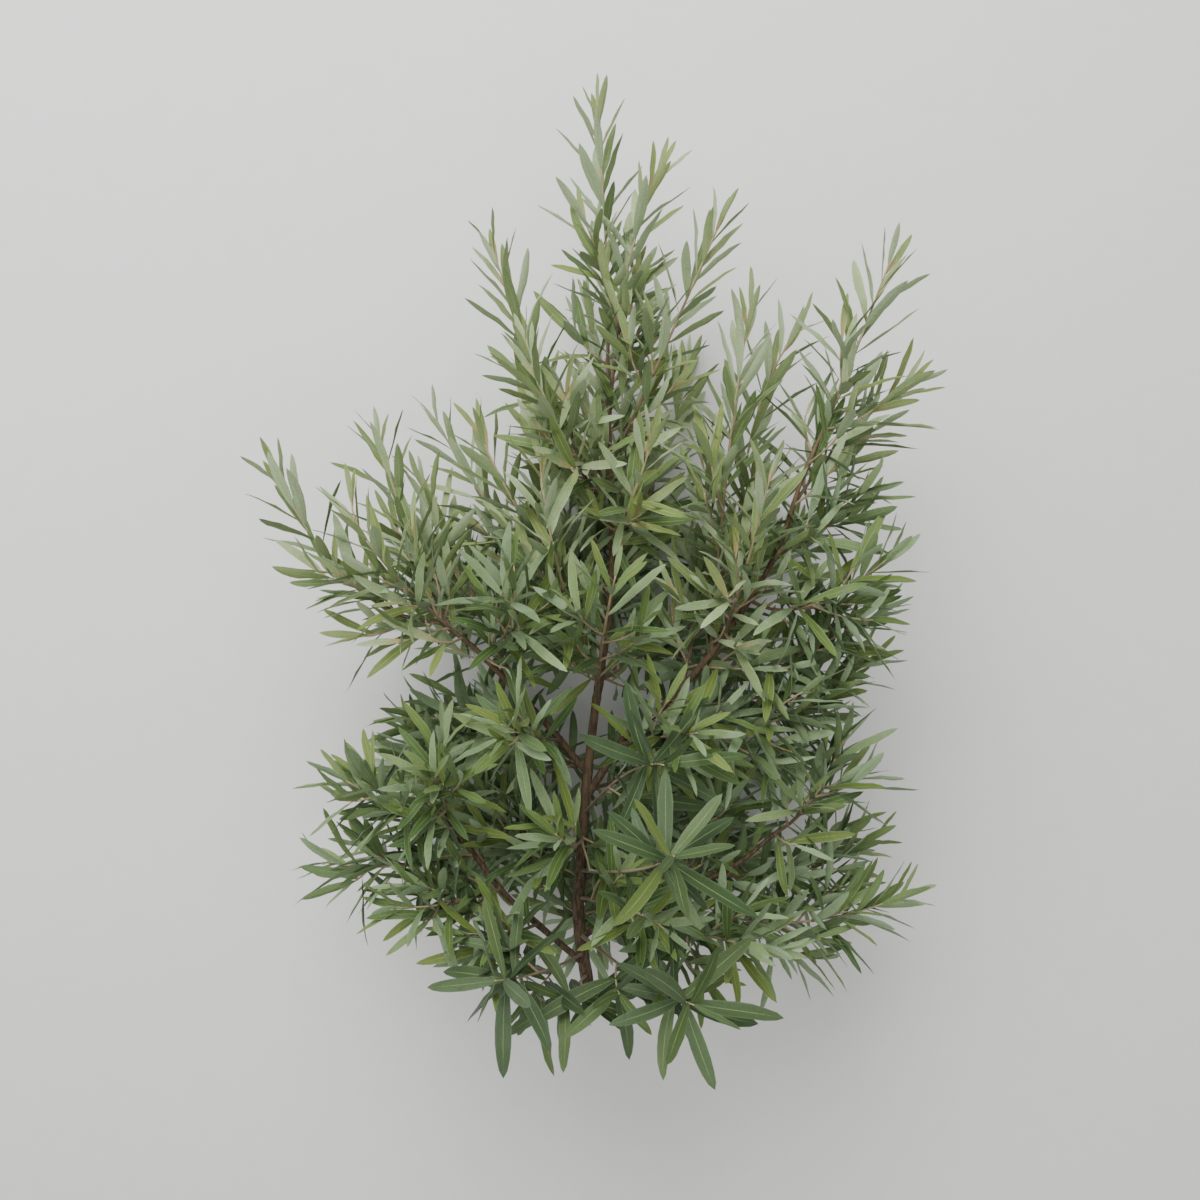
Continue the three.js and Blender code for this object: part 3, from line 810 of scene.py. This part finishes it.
@dataclass
class StemPattern:
    """A straight round stem, 1 long and 1 in radius, that twigs and branches are copies of.

    Attributes:
        sides: Points round it.
        rings: Places along it where it has a ring of points.
        name: Name of the pattern.
    """

    sides: int
    rings: tuple[float, ...]
    name: str
    shape: bpy.types.Object = field(init=False)

    def model(self) -> None:
        """Models the stem: a filled circle, drawn out ring by ring."""
        clear_selection()
        bpy.ops.mesh.primitive_circle_add(vertices=self.sides, radius=1, fill_type="NGON")
        stem = bpy.context.active_object
        stem.name = self.name
        bpy.ops.object.mode_set(mode="EDIT")
        bpy.ops.mesh.select_all(action="SELECT")
        bpy.ops.mesh.flip_normals()
        for before, after in zip(self.rings, self.rings[1:]):
            step = {"value": (0, 0, after - before)}
            bpy.ops.mesh.extrude_region_move(TRANSFORM_OT_translate=step)
        bpy.ops.mesh.select_all(action="SELECT")
        bpy.ops.mesh.normals_make_consistent(inside=False)
        bpy.ops.object.mode_set(mode="OBJECT")
        layer = map_layer(stem.data)
        for corner, loop in enumerate(stem.data.loops):
            place = stem.data.vertices[loop.vertex_index].co
            layer.data[corner].uv = (place.z, 0.5 + math.atan2(place.y, place.x) / (2 * math.pi))
        self.shape = stem

    def ring(self, height: float) -> float:
        """Returns the place of the ring that a point of the pattern belongs to, by its height."""
        return min(self.rings, key=lambda mark: abs(mark - height))


def copies_of(pattern: bpy.types.Object, count: int, name: str) -> bpy.types.Object:
    """Copies a pattern into one new object with a mesh of its own.

    Args:
        pattern: The modelled shape.
        count: How many copies the new object holds.
        name: The new object's name.

    Returns:
        The new object, whose vertices come copy after copy.
    """
    select_only(pattern)
    bpy.ops.object.duplicate(linked=False)
    made = bpy.context.active_object
    made.name = name
    made.data.name = name
    if count > 1:
        apply_modifier(made, "ARRAY", count=count, use_merge_vertices=False)
    return made


@dataclass(frozen=True)
class LeafFinish:
    """The look of leaves on one kind of twig, as colours in linear light.

    Attributes:
        name: Name of the material.
        old: Upper face of the full-grown leaves.
        young: Upper face of the youngest leaves.
        olive: Upper face of the yellower leaves.
        under: Silvery scales, thickest on the underside.
        rib: Midrib.
        silver: Share of silvery scales on the upper face of the most silvery leaves.
        tan: Share of tan at the root of the youngest leaves.
        yellow: Upper face of the few ageing leaves.
        root: The tan at the root.
        rust: Scales scattered on the underside.
        veins: How closely the side veins follow each other.
    """

    name: str
    old: Triple
    young: Triple
    olive: Triple
    under: Triple
    rib: Triple
    silver: float
    tan: float
    yellow: Triple = (0.15, 0.21, 0.03)
    root: Triple = (0.45, 0.31, 0.14)
    rust: Triple = (0.3, 0.2, 0.1)
    veins: float = 160

    def build(self) -> bpy.types.Material:
        """Builds the node material.

        Returns:
            The material.
        """
        tree = NodeTree(self.name, sheen=0.08)
        tint, youth, under, silvery = tree.growth()
        along, side = tree.blade_map()
        from_rib = tree.maths("ABSOLUTE", tree.maths("SUBTRACT", side, 0.5))
        rib = tree.times(tree.ramp(from_rib, 0.012, 0.05, 1.0, 0.0),
                         tree.ramp(along, 0.6, 0.98, 1.0, 0.2))
        rib_paint = tree.times(rib, 0.8)
        margin = tree.ramp(from_rib, 0.38, 0.5, 0.0, 0.45)
        mottle = tree.noise(700, 3)
        patches = tree.noise(55, 3)
        scales = tree.ramp(tree.noise(2600, 2), 0.5, 0.62, 0.0, 1.0)
        silver = tree.times(tree.ramp(silvery, 0.4, 0.85, 0.06, 1.0), self.silver)
        base = tree.times(tree.ramp(along, 0.05, 0.6, 1.0, 0.0),
                          tree.ramp(youth, 0.72, 0.94, 0.0, self.tan))
        upper = self.old
        for paint, share in (
                (self.young, tree.ramp(youth, 0.45, 1.0, 0.0, 1.0)),
                (self.olive, tree.ramp(tint, 0.5, 0.9, 0.0, 0.7)),
                (self.under, tree.times(silver, tree.ramp(patches, 0.3, 0.7, 0.55, 1.0))),
                (self.under, tree.times(scales, tree.times(silver, 0.5))),
                (self.yellow, tree.ramp(tint, 0.97, 0.985, 0.0, 0.45))):
            upper = tree.blend(upper, paint, share)
        lower = tree.blend(upper, self.under, tree.ramp(silvery, 0.3, 0.85, 0.25, 0.92))
        for paint, share in ((self.root, base), (self.under, margin), (self.rib, rib_paint)):
            upper = tree.blend(upper, paint, share)
        rusty = tree.ramp(tree.noise(1500, 1), 0.66, 0.7, 0.0, 0.35)
        for paint, share in ((self.rib, rib_paint), (self.rust, rusty)):
            lower = tree.blend(lower, paint, share)
        shade = tree.plus(tree.times(tint, 0.3), tree.line(mottle, 0.7, 0.5))
        tree.surface(tree.scale_colour(tree.blend(upper, lower, under), shade),
                     tree.plus(tree.line(under, 0.18, 0.46), tree.times(patches, 0.1)))
        slanted = tree.plus(along, tree.times(from_rib, -0.35))
        veins = tree.maths("SINE", tree.times(slanted, self.veins))
        height = tree.plus(tree.times(rib, -1.0), tree.times(veins, 0.12))
        height = tree.plus(height, tree.times(mottle, 1.6))
        tree.bump(tree.plus(height, tree.times(scales, 0.3)), 0.6, 0.0004)
        return tree.material


@dataclass(frozen=True)
class TwigFinish:
    """The look of this year's twigs: brown at the foot, pale and scaly at the tip."""

    name: str = "green_wood"
    foot: Triple = (0.115, 0.075, 0.038)
    tip: Triple = (0.37, 0.285, 0.155)
    scales: Triple = (0.5, 0.44, 0.34)

    def build(self) -> bpy.types.Material:
        """Builds the node material.

        Returns:
            The material.
        """
        tree = NodeTree(self.name, sheen=0.15)
        _, youth, _, _ = tree.growth()
        flecks = tree.ramp(tree.noise(1900, 2), 0.52, 0.6, 0.0, 1.0)
        blotches = tree.noise(260, 3)
        colour = tree.blend(self.foot, self.tip, tree.ramp(youth, 0.15, 0.95, 0.0, 1.0))
        colour = tree.blend(colour, self.scales, tree.times(flecks, 0.3))
        tree.surface(tree.scale_colour(colour, tree.line(blotches, 0.6, 0.7)),
                     tree.line(blotches, 0.2, 0.5))
        tree.bump(tree.plus(blotches, tree.times(flecks, 0.4)), 0.4, 0.0003)
        return tree.material


@dataclass(frozen=True)
class BarkFinish:
    """The look of the old wood: dark brown with painted shade, cracked lengthwise, with paler
    pores.
    """

    name: str = "old_bark"
    # Every brown here is darker than the wood's own, as painted shade for the shade the stem stands
    # in under the leaves.
    dark: Triple = (0.024, 0.015, 0.01)
    light: Triple = (0.1, 0.064, 0.036)
    patch: Triple = (0.14, 0.115, 0.07)
    pore: Triple = (0.27, 0.21, 0.14)
    young: Triple = (0.17, 0.105, 0.05)

    def build(self) -> bpy.types.Material:
        """Builds the node material.

        Returns:
            The material.
        """
        tree = NodeTree(self.name, sheen=0.0)
        _, youth, _, _ = tree.growth()
        ridges = tree.noise(420, 5, stretch=(1, 0.22, 1))
        cracks = tree.ramp(ridges, 0.4, 0.56, 0.0, 1.0)
        pores = tree.ramp(tree.noise(900, 1, stretch=(1, 0.5, 1)), 0.68, 0.72, 0.0, 1.0)
        colour = self.dark
        for paint, share in ((self.light, cracks),
                             (self.patch, tree.times(tree.noise(70, 3), 0.35)),
                             (self.pore, tree.times(pores, 0.5)),
                             (self.young, tree.times(youth, 0.5))):
            colour = tree.blend(colour, paint, share)
        tree.surface(colour, tree.line(cracks, -0.15, 0.85))
        tree.bump(tree.plus(ridges, tree.times(pores, 0.5)), 0.8, 0.0009)
        return tree.material


@dataclass(frozen=True)
class CutWoodFinish:
    """The sawn foot: pale fresh wood with rings round a small pith."""

    name: str = "cut_wood"
    pale: Triple = (0.56, 0.42, 0.24)
    ring: Triple = (0.36, 0.23, 0.11)

    def build(self) -> bpy.types.Material:
        """Builds the node material.

        Returns:
            The material.
        """
        tree = NodeTree(self.name, sheen=0.0)
        grain = tree.noise(2200, 2)
        colour = tree.blend(self.pale, self.ring, tree.times(tree.rings(75), 0.6))
        tree.surface(tree.scale_colour(colour, tree.line(grain, 0.4, 0.8)),
                     tree.line(grain, 0.2, 0.6))
        tree.bump(grain, 0.4, 0.0002)
        return tree.material


class NodeTree:
    """A node material in the making, with the few nodes that the plant's finishes need."""

    def __init__(self, name: str, sheen: float) -> None:
        """Starts a material with one shader.

        Args:
            name: The material's name.
            sheen: Weight of the soft sheen.
        """
        self.material = bpy.data.materials.new(name)
        self.material.use_nodes = True
        self.nodes = self.material.node_tree.nodes
        self.links = self.material.node_tree.links
        self.shader = next(node for node in self.nodes if node.type == "BSDF_PRINCIPLED")
        shine = {"Sheen Weight": sheen, "Sheen Roughness": 0.4, "Specular IOR Level": 0.4}
        for key, value in shine.items():
            self.put(self.shader.inputs[key], value)
        self.place = self.nodes.new("ShaderNodeTexCoord").outputs["Object"]

    def put(self, socket: Socket, value: Value) -> None:
        """Links a value to a socket, or sets it there when it is a number or three.

        Args:
            socket: The input that takes it.
            value: Another node's output, a number, or three numbers.
        """
        if isinstance(value, Socket):
            self.links.new(value, socket)
        elif isinstance(value, tuple):
            socket.default_value = (*value, 1.0)[:len(socket.default_value)]
        else:
            socket.default_value = value

    def node(self, kind: str, inputs: dict[str | int, Value], **settings: str) -> bpy.types.Node:
        """Adds a node.

        Args:
            kind: Its type, without the words that every shader node's type starts with.
            inputs: Its inputs, by name or number.
            settings: Its options by name.

        Returns:
            The node.
        """
        node = self.nodes.new(f"ShaderNode{kind}")
        for key, choice in settings.items():
            setattr(node, key, choice)
        for key, value in inputs.items():
            self.put(node.inputs[key], value)
        return node

    def growth(self) -> tuple[Socket, ...]:
        """Returns the growth attribute's tint, youth, underside mark and silveriness."""
        stored = self.node("Attribute", {}, attribute_name=LOOK_ATTRIBUTE).outputs
        return (*self.node("SeparateColor", {0: stored["Color"]}).outputs[:3], stored["Alpha"])

    def blade_map(self) -> tuple[Socket, ...]:
        """Returns the place along and across a blade."""
        laid = self.node("UVMap", {}, uv_map=BLADE_MAP).outputs["UV"]
        return tuple(self.node("SeparateXYZ", {0: laid}).outputs[:2])

    def maths(self, operation: str, first: Value, second: Value = 0.0) -> Socket:
        """Returns the result of a mathematical operation on one or two values."""
        return self.node("Math", {0: first, 1: second}, operation=operation).outputs[0]

    def times(self, first: Value, second: Value) -> Socket:
        """Returns the product of two values."""
        return self.maths("MULTIPLY", first, second)

    def plus(self, first: Value, second: Value) -> Socket:
        """Returns the sum of two values."""
        return self.maths("ADD", first, second)

    def line(self, value: Value, slope: float, start: float) -> Socket:
        """Returns a value that starts at a number and goes up by a slope."""
        return self.plus(self.times(value, slope), start)

    def ramp(self, value: Value, start: float, end: float, low: float, high: float) -> Socket:
        """Returns a value eased from low to high while the given one goes from start to end."""
        inputs = {"Value": value, "From Min": start, "From Max": end, "To Min": low, "To Max": high}
        return self.node("MapRange", inputs, interpolation_type="SMOOTHSTEP").outputs["Result"]

    def noise(self, scale: float, detail: float, stretch: Triple = (1, 1, 1)) -> Socket:
        """Returns a noise over the piece.

        Args:
            scale: Grains in a metre.
            detail: How many finer layers it has.
            stretch: Scale along each axis.

        Returns:
            The noise's value from 0 to 1.
        """
        place = self.node("Mapping", {"Vector": self.place, "Scale": stretch}).outputs["Vector"]
        return self.node("TexNoise", {"Vector": place, "Scale": scale, "Detail": detail}).outputs[0]

    def rings(self, scale: float) -> Socket:
        """Draws slightly wavy rings round the middle of the cut foot.

        Args:
            scale: About a third of the rings in a metre.

        Returns:
            How dark the ring is, from 0 to 1.
        """
        away = tuple(-part for part in PartFrame.offset())
        place = self.node("Mapping", {"Vector": self.place, "Location": away}).outputs["Vector"]
        inputs = {"Vector": place, "Scale": scale, "Distortion": 1.5, "Detail Scale": 4}
        return self.node("TexWave", inputs, wave_type="RINGS", rings_direction="Y").outputs["Fac"]

    def blend(self, first: Value, second: Value, share: Value) -> Socket:
        """Returns two colours blended by a share."""
        return self.node("Mix", {0: share, 6: first, 7: second}, data_type="RGBA").outputs[2]

    def scale_colour(self, colour: Value, shade: Value) -> Socket:
        """Returns a colour made lighter or darker by a factor."""
        return self.node("VectorMath", {0: colour, "Scale": shade}, operation="SCALE").outputs[0]

    def surface(self, colour: Value, roughness: Value) -> None:
        """Gives the shader its colour and its roughness."""
        self.put(self.shader.inputs["Base Color"], colour)
        self.put(self.shader.inputs["Roughness"], roughness)

    def bump(self, height: Socket, strength: float, distance: float) -> None:
        """Links a bump to the shader, of a strength and a height in metres."""
        node = self.node("Bump", {"Strength": strength, "Distance": distance, "Height": height})
        self.put(self.shader.inputs["Normal"], node.outputs["Normal"])


def corner_lists(corners: tuple[Vector, Vector]) -> list[list[float]]:
    """Returns two corners as lists of numbers."""
    return [[round(float(number), 5) for number in corner] for corner in corners]


class PartFrame:
    """Where the plant's own frame lies in the part's frame."""

    MARGIN = 0.001  # between the look's side twigs and the box of the solids, in metres
    _offset: Triple | None = None
    _box: np.ndarray | None = None

    @classmethod
    def offset(cls) -> Triple:
        """Finds the middle of the woody frame's cut foot.

        Returns:
            Its place in metres in the part's frame.
        """
        if cls._offset is None:
            places = places_of(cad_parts["woody_frame"])
            ring = np.unique(np.round(places[places[:, 1] < places[:, 1].min() + 2e-5], 6), axis=0)
            low, high = ring.min(axis=0), ring.max(axis=0)
            cls._offset = tuple(float(v) for v in (low + high) / 2)
        return cls._offset

    @classmethod
    def measure(cls) -> list[list[float]]:
        """Keeps the lowest and highest corner of the solids.

        Returns:
            Both corners in metres.
        """
        corners = corner_lists(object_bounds())
        cls._box = np.array(corners)
        return corners

    @classmethod
    def holds(cls, place: Vector) -> bool:
        """Says whether a place lies well inside the box of the solids.

        Args:
            place: In the plant's frame, in mm.

        Returns:
            True where it does.
        """
        there = np.array(place) * MM + np.array(cls.offset())
        low, high = cls._box
        return bool(np.all(there > low + cls.MARGIN) and np.all(there < high - cls.MARGIN))

    @classmethod
    def place(cls, thing: bpy.types.Object, places: np.ndarray | list[Vector]) -> None:
        """Moves an object's vertices to where they stand in the part's frame.

        Args:
            thing: The object.
            places: Its vertices' places in the plant's frame, in mm.
        """
        there = np.array([list(place) for place in places]) * MM + np.array(cls.offset())
        thing.data.vertices.foreach_set("co", there.ravel())
        thing.data.update()


class FinishSet:
    """Every finish of the plant, built once."""

    def __init__(self) -> None:
        """Builds the materials."""
        young = LeafFinish("young_leaf", old=(0.07, 0.135, 0.021), young=(0.18, 0.245, 0.062),
                           olive=(0.17, 0.215, 0.04), under=(0.36, 0.46, 0.27),
                           rib=(0.32, 0.38, 0.14), silver=0.78, tan=0.9)
        grey = LeafFinish("grey_leaf", old=(0.044, 0.098, 0.013), young=(0.122, 0.192, 0.038),
                          olive=(0.124, 0.165, 0.021), under=(0.272, 0.38, 0.215),
                          rib=(0.225, 0.31, 0.1), silver=0.78, tan=0.0)
        # The low leaves' colours, darker than the others', are partly their own deeper green and
        # partly painted shade for the shade low down among the branches.
        low = LeafFinish("low_leaf", old=(0.023, 0.056, 0.011), young=(0.045, 0.088, 0.017),
                         olive=(0.062, 0.094, 0.014), under=(0.112, 0.17, 0.085),
                         rib=(0.165, 0.24, 0.09), silver=0.4, tan=0.0)
        self.leaves = {Slot.YOUNG: young.build(), Slot.LEAF: grey.build(), Slot.LOW: low.build()}
        self.twig = TwigFinish().build()
        self.bark = BarkFinish().build()
        self.cut = CutWoodFinish().build()


@dataclass
class LeafyShoot:
    """One leafy twig with its side twigs and leaves, as one piece.

    Attributes:
        plan: Where it grows and how it is leafed.
        index: Its number, which seeds its draws.
        blade: The leaf blade.
        stem: The twig.
        finishes: The finishes of the plant.
        twist: Most that a blade turns on its own axis towards the tip, in radians.
        sweep: Most that its tip goes to one side, as a share of its length.
        stiff: Share of the blade at its root that isn't twisted.
        wave: Height of its waves, as a share of its length.
        ruffle: Height of its edges' waves, as a share of its width.
        phases: Turns of the waves and of the ruffles over its length, in radians.
        wide: Width in mm of a leaf that has the blade pattern's own heights.
        thickest: Most that these heights grow by.
        lying: Height in mm that leaves lie at, and what is left of how far they dip below it.
        flare: How much thicker a twig is at its foot, as a share of its radius.
        flare_reach: How far up the twig that goes, in mm.
        knobs: Height of the knobs on a twig, as a share of its radius.
        knob_turn: Turn of the knobs for each mm along the twig, in radians.
    """

    plan: ShootPlan
    index: int
    blade: BladePattern
    stem: StemPattern
    finishes: FinishSet
    twist: float = 0.7
    sweep: float = 0.12
    stiff: float = 0.15
    wave: float = 0.012
    ruffle: float = 0.07
    phases: tuple[float, float] = (6, 15)
    wide: float = 8
    thickest: float = 1.2
    lying: tuple[float, float] = (0.4, 0.04)
    flare: float = 0.55
    flare_reach: float = 5
    knobs: float = 0.1
    knob_turn: float = 1.15

    def build(self) -> bpy.types.Object:
        """Grows, places and dresses the shoot.

        Returns:
            The finished piece.
        """
        rule = GrowthRule(self.plan, self.index)
        leaves = self.lay_leaves(rule)
        twigs = self.lay_twigs(rule)
        clear_selection()
        twigs.select_set(True)
        leaves.select_set(True)
        bpy.context.view_layer.objects.active = leaves
        bpy.ops.object.join()
        bpy.ops.object.shade_smooth()
        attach(leaves, "root")
        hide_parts(f"{self.plan.name}_shoot")
        LOG.info("%s: %d leaves on %d twigs", leaves.name, len(rule.leaves), len(rule.twigs))
        return leaves

    def lay_leaves(self, rule: GrowthRule) -> bpy.types.Object:
        """Copies the blade for every leaf and sets each copy in its place.

        Args:
            rule: The grown shoot.

        Returns:
            One object with all the leaves.
        """
        count = len(rule.leaves)
        habit = self.plan.habit.value
        made = copies_of(self.blade.shape, count, f"{self.plan.name}_leafy_twig")
        pattern = places_of(self.blade.shape)
        x, y, z = (pattern[:, k][None, :, None] for k in range(3))
        root, direction, face = (
            np.array([list(getattr(leaf, name)) for leaf in rule.leaves])[:, None, :]
            for name in ("root", "direction", "face"))
        length, width, curl, young = (
            np.array([getattr(leaf, name) for leaf in rule.leaves])[:, None, None]
            for name in ("length", "width", "curl", "young"))
        extra = SeededDraw(LOOK_SEED * (self.index + 1))
        draws = np.array([[extra() for _ in range(5)] for _ in range(count)])[:, None, :] * 2 - 1
        turned, swept, waved, tint, silvery = (draws[..., k:k + 1] for k in range(5))
        edge = np.cross(direction, face)
        twist = turned * self.twist * np.clip(x - self.stiff, 0, 1)
        side = edge * np.cos(twist) + face * np.sin(twist)
        up = face * np.cos(twist) - edge * np.sin(twist)
        full = np.clip(4 * x * (1 - x), 0.1, 1) ** -habit.blunt
        sweep = swept * self.sweep * length * x**2
        wave = waved * self.wave * length * np.sin(x * self.phases[0])
        ruffle = self.ruffle * width * np.abs(y) * np.sin(x * self.phases[1] + tint * 3)
        thick = np.minimum(width / self.wide, self.thickest)
        height = z * thick + curl * length * x**2 + wave + ruffle
        beside = y * full * width / 2 + sweep
        places = root + direction * (length * x) + side * beside + up * height
        low = FLOOR + self.lying[0]
        sunk = low + (places[..., 2] - low) * self.lying[1]
        places[..., 2] = np.where(places[..., 2] < low, sunk, places[..., 2])
        PartFrame.place(made, places.reshape(-1, 3))
        looks = np.concatenate([(tint + 1) / 2, young, (silvery + 1) / 2], axis=2)[:, 0]
        by_vertex = np.repeat(looks, len(pattern), axis=0)
        colour_corners(made, by_vertex, np.tile(self.blade.underside(), count))
        dress(made, self.finishes.leaves[habit.slot])
        return made

    def lay_twigs(self, rule: GrowthRule) -> bpy.types.Object:
        """Copies the stem for every twig and bends each copy along its curve.

        Args:
            rule: The grown shoot.

        Returns:
            One object with all the twigs.
        """
        made = copies_of(self.stem.shape, len(rule.twigs), f"{self.plan.name}_twigs")
        pattern = places_of(self.stem.shape)
        rows, looks = [], []
        for number, twig in enumerate(rule.twigs):
            stations = {share: twig.station(twig.length * share) for share in self.stem.rings}
            for x, y, z in pattern:
                share = self.stem.ring(z)
                place = stations[share]
                flare = self.flare * twig.radius * math.exp(-twig.length * share / self.flare_reach)
                knob = 1 + self.knobs * math.sin(share * twig.length * self.knob_turn)
                radius = mix(twig.radius, TIP_RADIUS, share) * knob + flare
                rows.append(place.centre + (place.side * x + place.other * y) * radius)
                looks.append((0.3 + 0.2 * number, mix(twig.first, 1, share), 0.0))
        PartFrame.place(made, rows)
        colour_corners(made, np.array(looks))
        dress(made, self.finishes.twig)
        return made


@dataclass
class OldWood:
    """The stem and its four branches of old wood, as one closed piece.

    Attributes:
        pattern: The straight stem that each branch is bent from.
        finishes: The finishes of the plant.
        swell: How much thicker a branch is where a shoot leaves it, as a share of its radius.
        swell_reach: How far along the branch that goes, in mm.
        lobes: Depth of the three and of the five soft ridges round a branch.
        aged: Height up the plant in metres where the wood is youngest.
    """

    pattern: StemPattern
    finishes: FinishSet
    swell: float = 0.16
    swell_reach: float = 6
    lobes: tuple[float, float] = (0.035, 0.02)
    aged: float = 0.6

    def build(self) -> bpy.types.Object:
        """Bends a stem along each branch, joins them and dresses them.

        Returns:
            The finished piece.
        """
        parts = [self.bend(name, branch) for name, branch in WOOD.items()]
        trunk = parts[0]
        for limb in parts[1:]:
            apply_modifier(trunk, "BOOLEAN", operation="UNION", object=limb, solver="EXACT")
            bpy.data.objects.remove(limb, do_unlink=True)
        trunk.name = "old_wood"
        select_only(trunk)
        bpy.ops.object.shade_smooth_by_angle(angle=math.radians(50))
        self.finish(trunk)
        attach(trunk, "root")
        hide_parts("woody_frame")
        LOG.info("%s: %d faces", trunk.name, len(trunk.data.polygons))
        return trunk

    def bend(self, name: str, branch: Branch) -> bpy.types.Object:
        """Copies the stem pattern and bends it along one branch, thicker where shoots leave it.

        Args:
            name: The branch's name.
            branch: Its sizes and way.

        Returns:
            The bent stem.
        """
        made = copies_of(self.pattern.shape, 1, name)
        knots = [plan.at for plan in SHOOTS if plan.branch == name]
        reference = Vector((0.1, -0.2, 1))
        length = sum((branch.point((i + 1) / 40) - branch.point(i / 40)).length for i in range(40))
        rows = []
        for x, y, z in places_of(self.pattern.shape):
            share = self.pattern.ring(z)
            cut = name == "trunk" and share == 0
            side = across(reference, PLANT_UP if cut else branch.direction(share))
            other = side.cross(PLANT_UP if cut else branch.direction(share))
            away = ((share - at) * length / self.swell_reach for at in knots)
            swell = sum(math.exp(-far**2) for far in away)
            turn = math.atan2(y, x)
            radius = mix(branch.start, branch.end, share) * (1 + self.swell * min(swell, 1.5))
            radius *= (1 + self.lobes[0] * math.sin(3 * turn + share * 9)
                       + self.lobes[1] * math.sin(5 * turn - share * 31))
            radius = branch.start if cut else radius
            rows.append(branch.point(share) + (side * x + other * y) * radius)
        PartFrame.place(made, rows)
        return made

    def finish(self, trunk: bpy.types.Object) -> None:
        """Gives the bark, and the sawn foot its own finish.

        Args:
            trunk: The joined old wood.
        """
        dress(trunk, self.finishes.bark, self.finishes.cut)
        foot = PartFrame.offset()[1]
        for face in trunk.data.polygons:
            face.material_index = int(face.normal.y < -0.9 and abs(face.center.y - foot) < 2e-4)
        places = places_of(trunk)
        youth = np.clip((places[:, 1] - foot) / self.aged, 0, 1)
        tint, silver = np.full(len(places), 0.5), np.zeros(len(places))
        colour_corners(trunk, np.stack([tint, youth, silver], axis=1))


@dataclass
class Studio:
    """The plain pale floor, the soft lights and the camera.

    Attributes:
        distance: Camera to the stem's plane, in mm.
        along: Camera over the foot of the stem, up the plant, in mm.
        beside: Camera to the right of the foot, in mm.
        pitch: Tilt of the camera towards the foot, in degrees.
        lens: Focal length in mm.
        sensor: Width of the camera's sensor in mm.
        aim: What the lights point at: how far beside the foot and up the plant, and its height
            over the surface, in metres.
        panels: Each light's name, how far it is beside and up from there, its height over the
            surface, its side, all in metres, and its power in watts.
    """

    distance: float = EYE.z
    along: float = EYE.y
    beside: float = EYE.x
    pitch: float = 6.466
    lens: float = 45.0
    sensor: float = 36
    aim: Triple = (0, 0.42, 0.14)
    panels: tuple[tuple[str, Triple, float, float], ...] = (
        ("sky_panel", (-0.4, 1.5, 1.7), 1.6, 74),
        ("camera_panel", (0.5, -0.3, 2.4), 2.0, 20),
        ("left_panel", (-1.9, 0.1, 1.1), 1.6, 12),
    )

    def build(self) -> None:
        """Sets up the floor, world, lights and camera."""
        self.floor()
        self.world()
        foot = PartFrame.offset()
        middle = (foot[0] + self.aim[0], foot[1] + self.aim[1], self.aim[2])
        for name, (right, up, height), size, power in self.panels:
            self.light(name, (middle[0] + right, middle[1] + up, height), middle, size, power)
        self.camera(foot)

    def floor(self) -> None:
        """Adds the floor, a wide disc with a soft matte finish."""
        clear_selection()
        bpy.ops.mesh.primitive_circle_add(vertices=96, radius=9, fill_type="NGON")
        floor = bpy.context.active_object
        floor.name = "studio_floor"
        tree = NodeTree("studio_floor", sheen=0.0)
        tree.surface(tree.blend((0.74, 0.74, 0.73), (0.78, 0.78, 0.77), tree.noise(40, 4)), 0.9)
        dress(floor, tree.material)
        floor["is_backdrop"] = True

    def world(self) -> None:
        """Gives the world an even pale light."""
        world = bpy.data.worlds.new("studio_world")
        world.use_nodes = True
        shader = next(node for node in world.node_tree.nodes if node.type == "BACKGROUND")
        shader.inputs[0].default_value = (1.0, 0.99, 0.97, 1)
        shader.inputs[1].default_value = 0.42
        bpy.context.scene.world = world

    def light(self, name: str, place: Triple, target: Triple, size: float, power: float) -> None:
        """Adds one square soft light.

        Args:
            name: The light's name.
            place: Where it hangs, in metres.
            target: What it points at.
            size: Side of the panel in metres.
            power: In watts.
        """
        clear_selection()
        bpy.ops.object.light_add(type="AREA", location=place)
        lamp = bpy.context.active_object
        lamp.name = name
        lamp.data.shape = "SQUARE"
        lamp.data.size = size
        lamp.data.energy = power
        lamp.rotation_euler = (Vector(target) - Vector(place)).to_track_quat("-Z", "Y").to_euler()

    def camera(self, foot: Triple) -> None:
        """Adds the camera over the lying plant.

        Args:
            foot: The cut foot's middle in metres.
        """
        clear_selection()
        over = (foot[0] + self.beside * MM, foot[1] + self.along * MM, foot[2] + self.distance * MM)
        bpy.ops.object.camera_add(location=over, rotation=(-math.radians(self.pitch), 0, 0))
        camera = bpy.context.active_object
        camera.name = "camera"
        camera.data.lens = self.lens
        camera.data.sensor_width = self.sensor
        bpy.context.scene.camera = camera


def main() -> None:
    """Builds the plant piece by piece, then the studio."""
    logging.basicConfig(level=logging.INFO, format="%(name)s %(message)s")
    solid_box = PartFrame.measure()
    blade = BladePattern()
    blade.model()
    rings = (0, 0.015, 0.04, 0.09, 0.17, 0.27, 0.38, 0.5, 0.62, 0.74, 0.86, 0.95, 1)
    green_stem = StemPattern(8, rings, "twig_pattern")
    green_stem.model()
    bark_stem = StemPattern(14, tuple(i / 72 for i in range(73)), "branch_pattern")
    bark_stem.model()
    finishes = FinishSet()
    OldWood(bark_stem, finishes).build()
    for index, plan in enumerate(SHOOTS):
        LeafyShoot(plan, index, blade, green_stem, finishes).build()
    for pattern in (blade.shape, green_stem.shape, bark_stem.shape):
        bpy.data.objects.remove(pattern, do_unlink=True)
    Studio().build()
    clear_selection()
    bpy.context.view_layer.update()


if __name__ == "__main__":
    main()
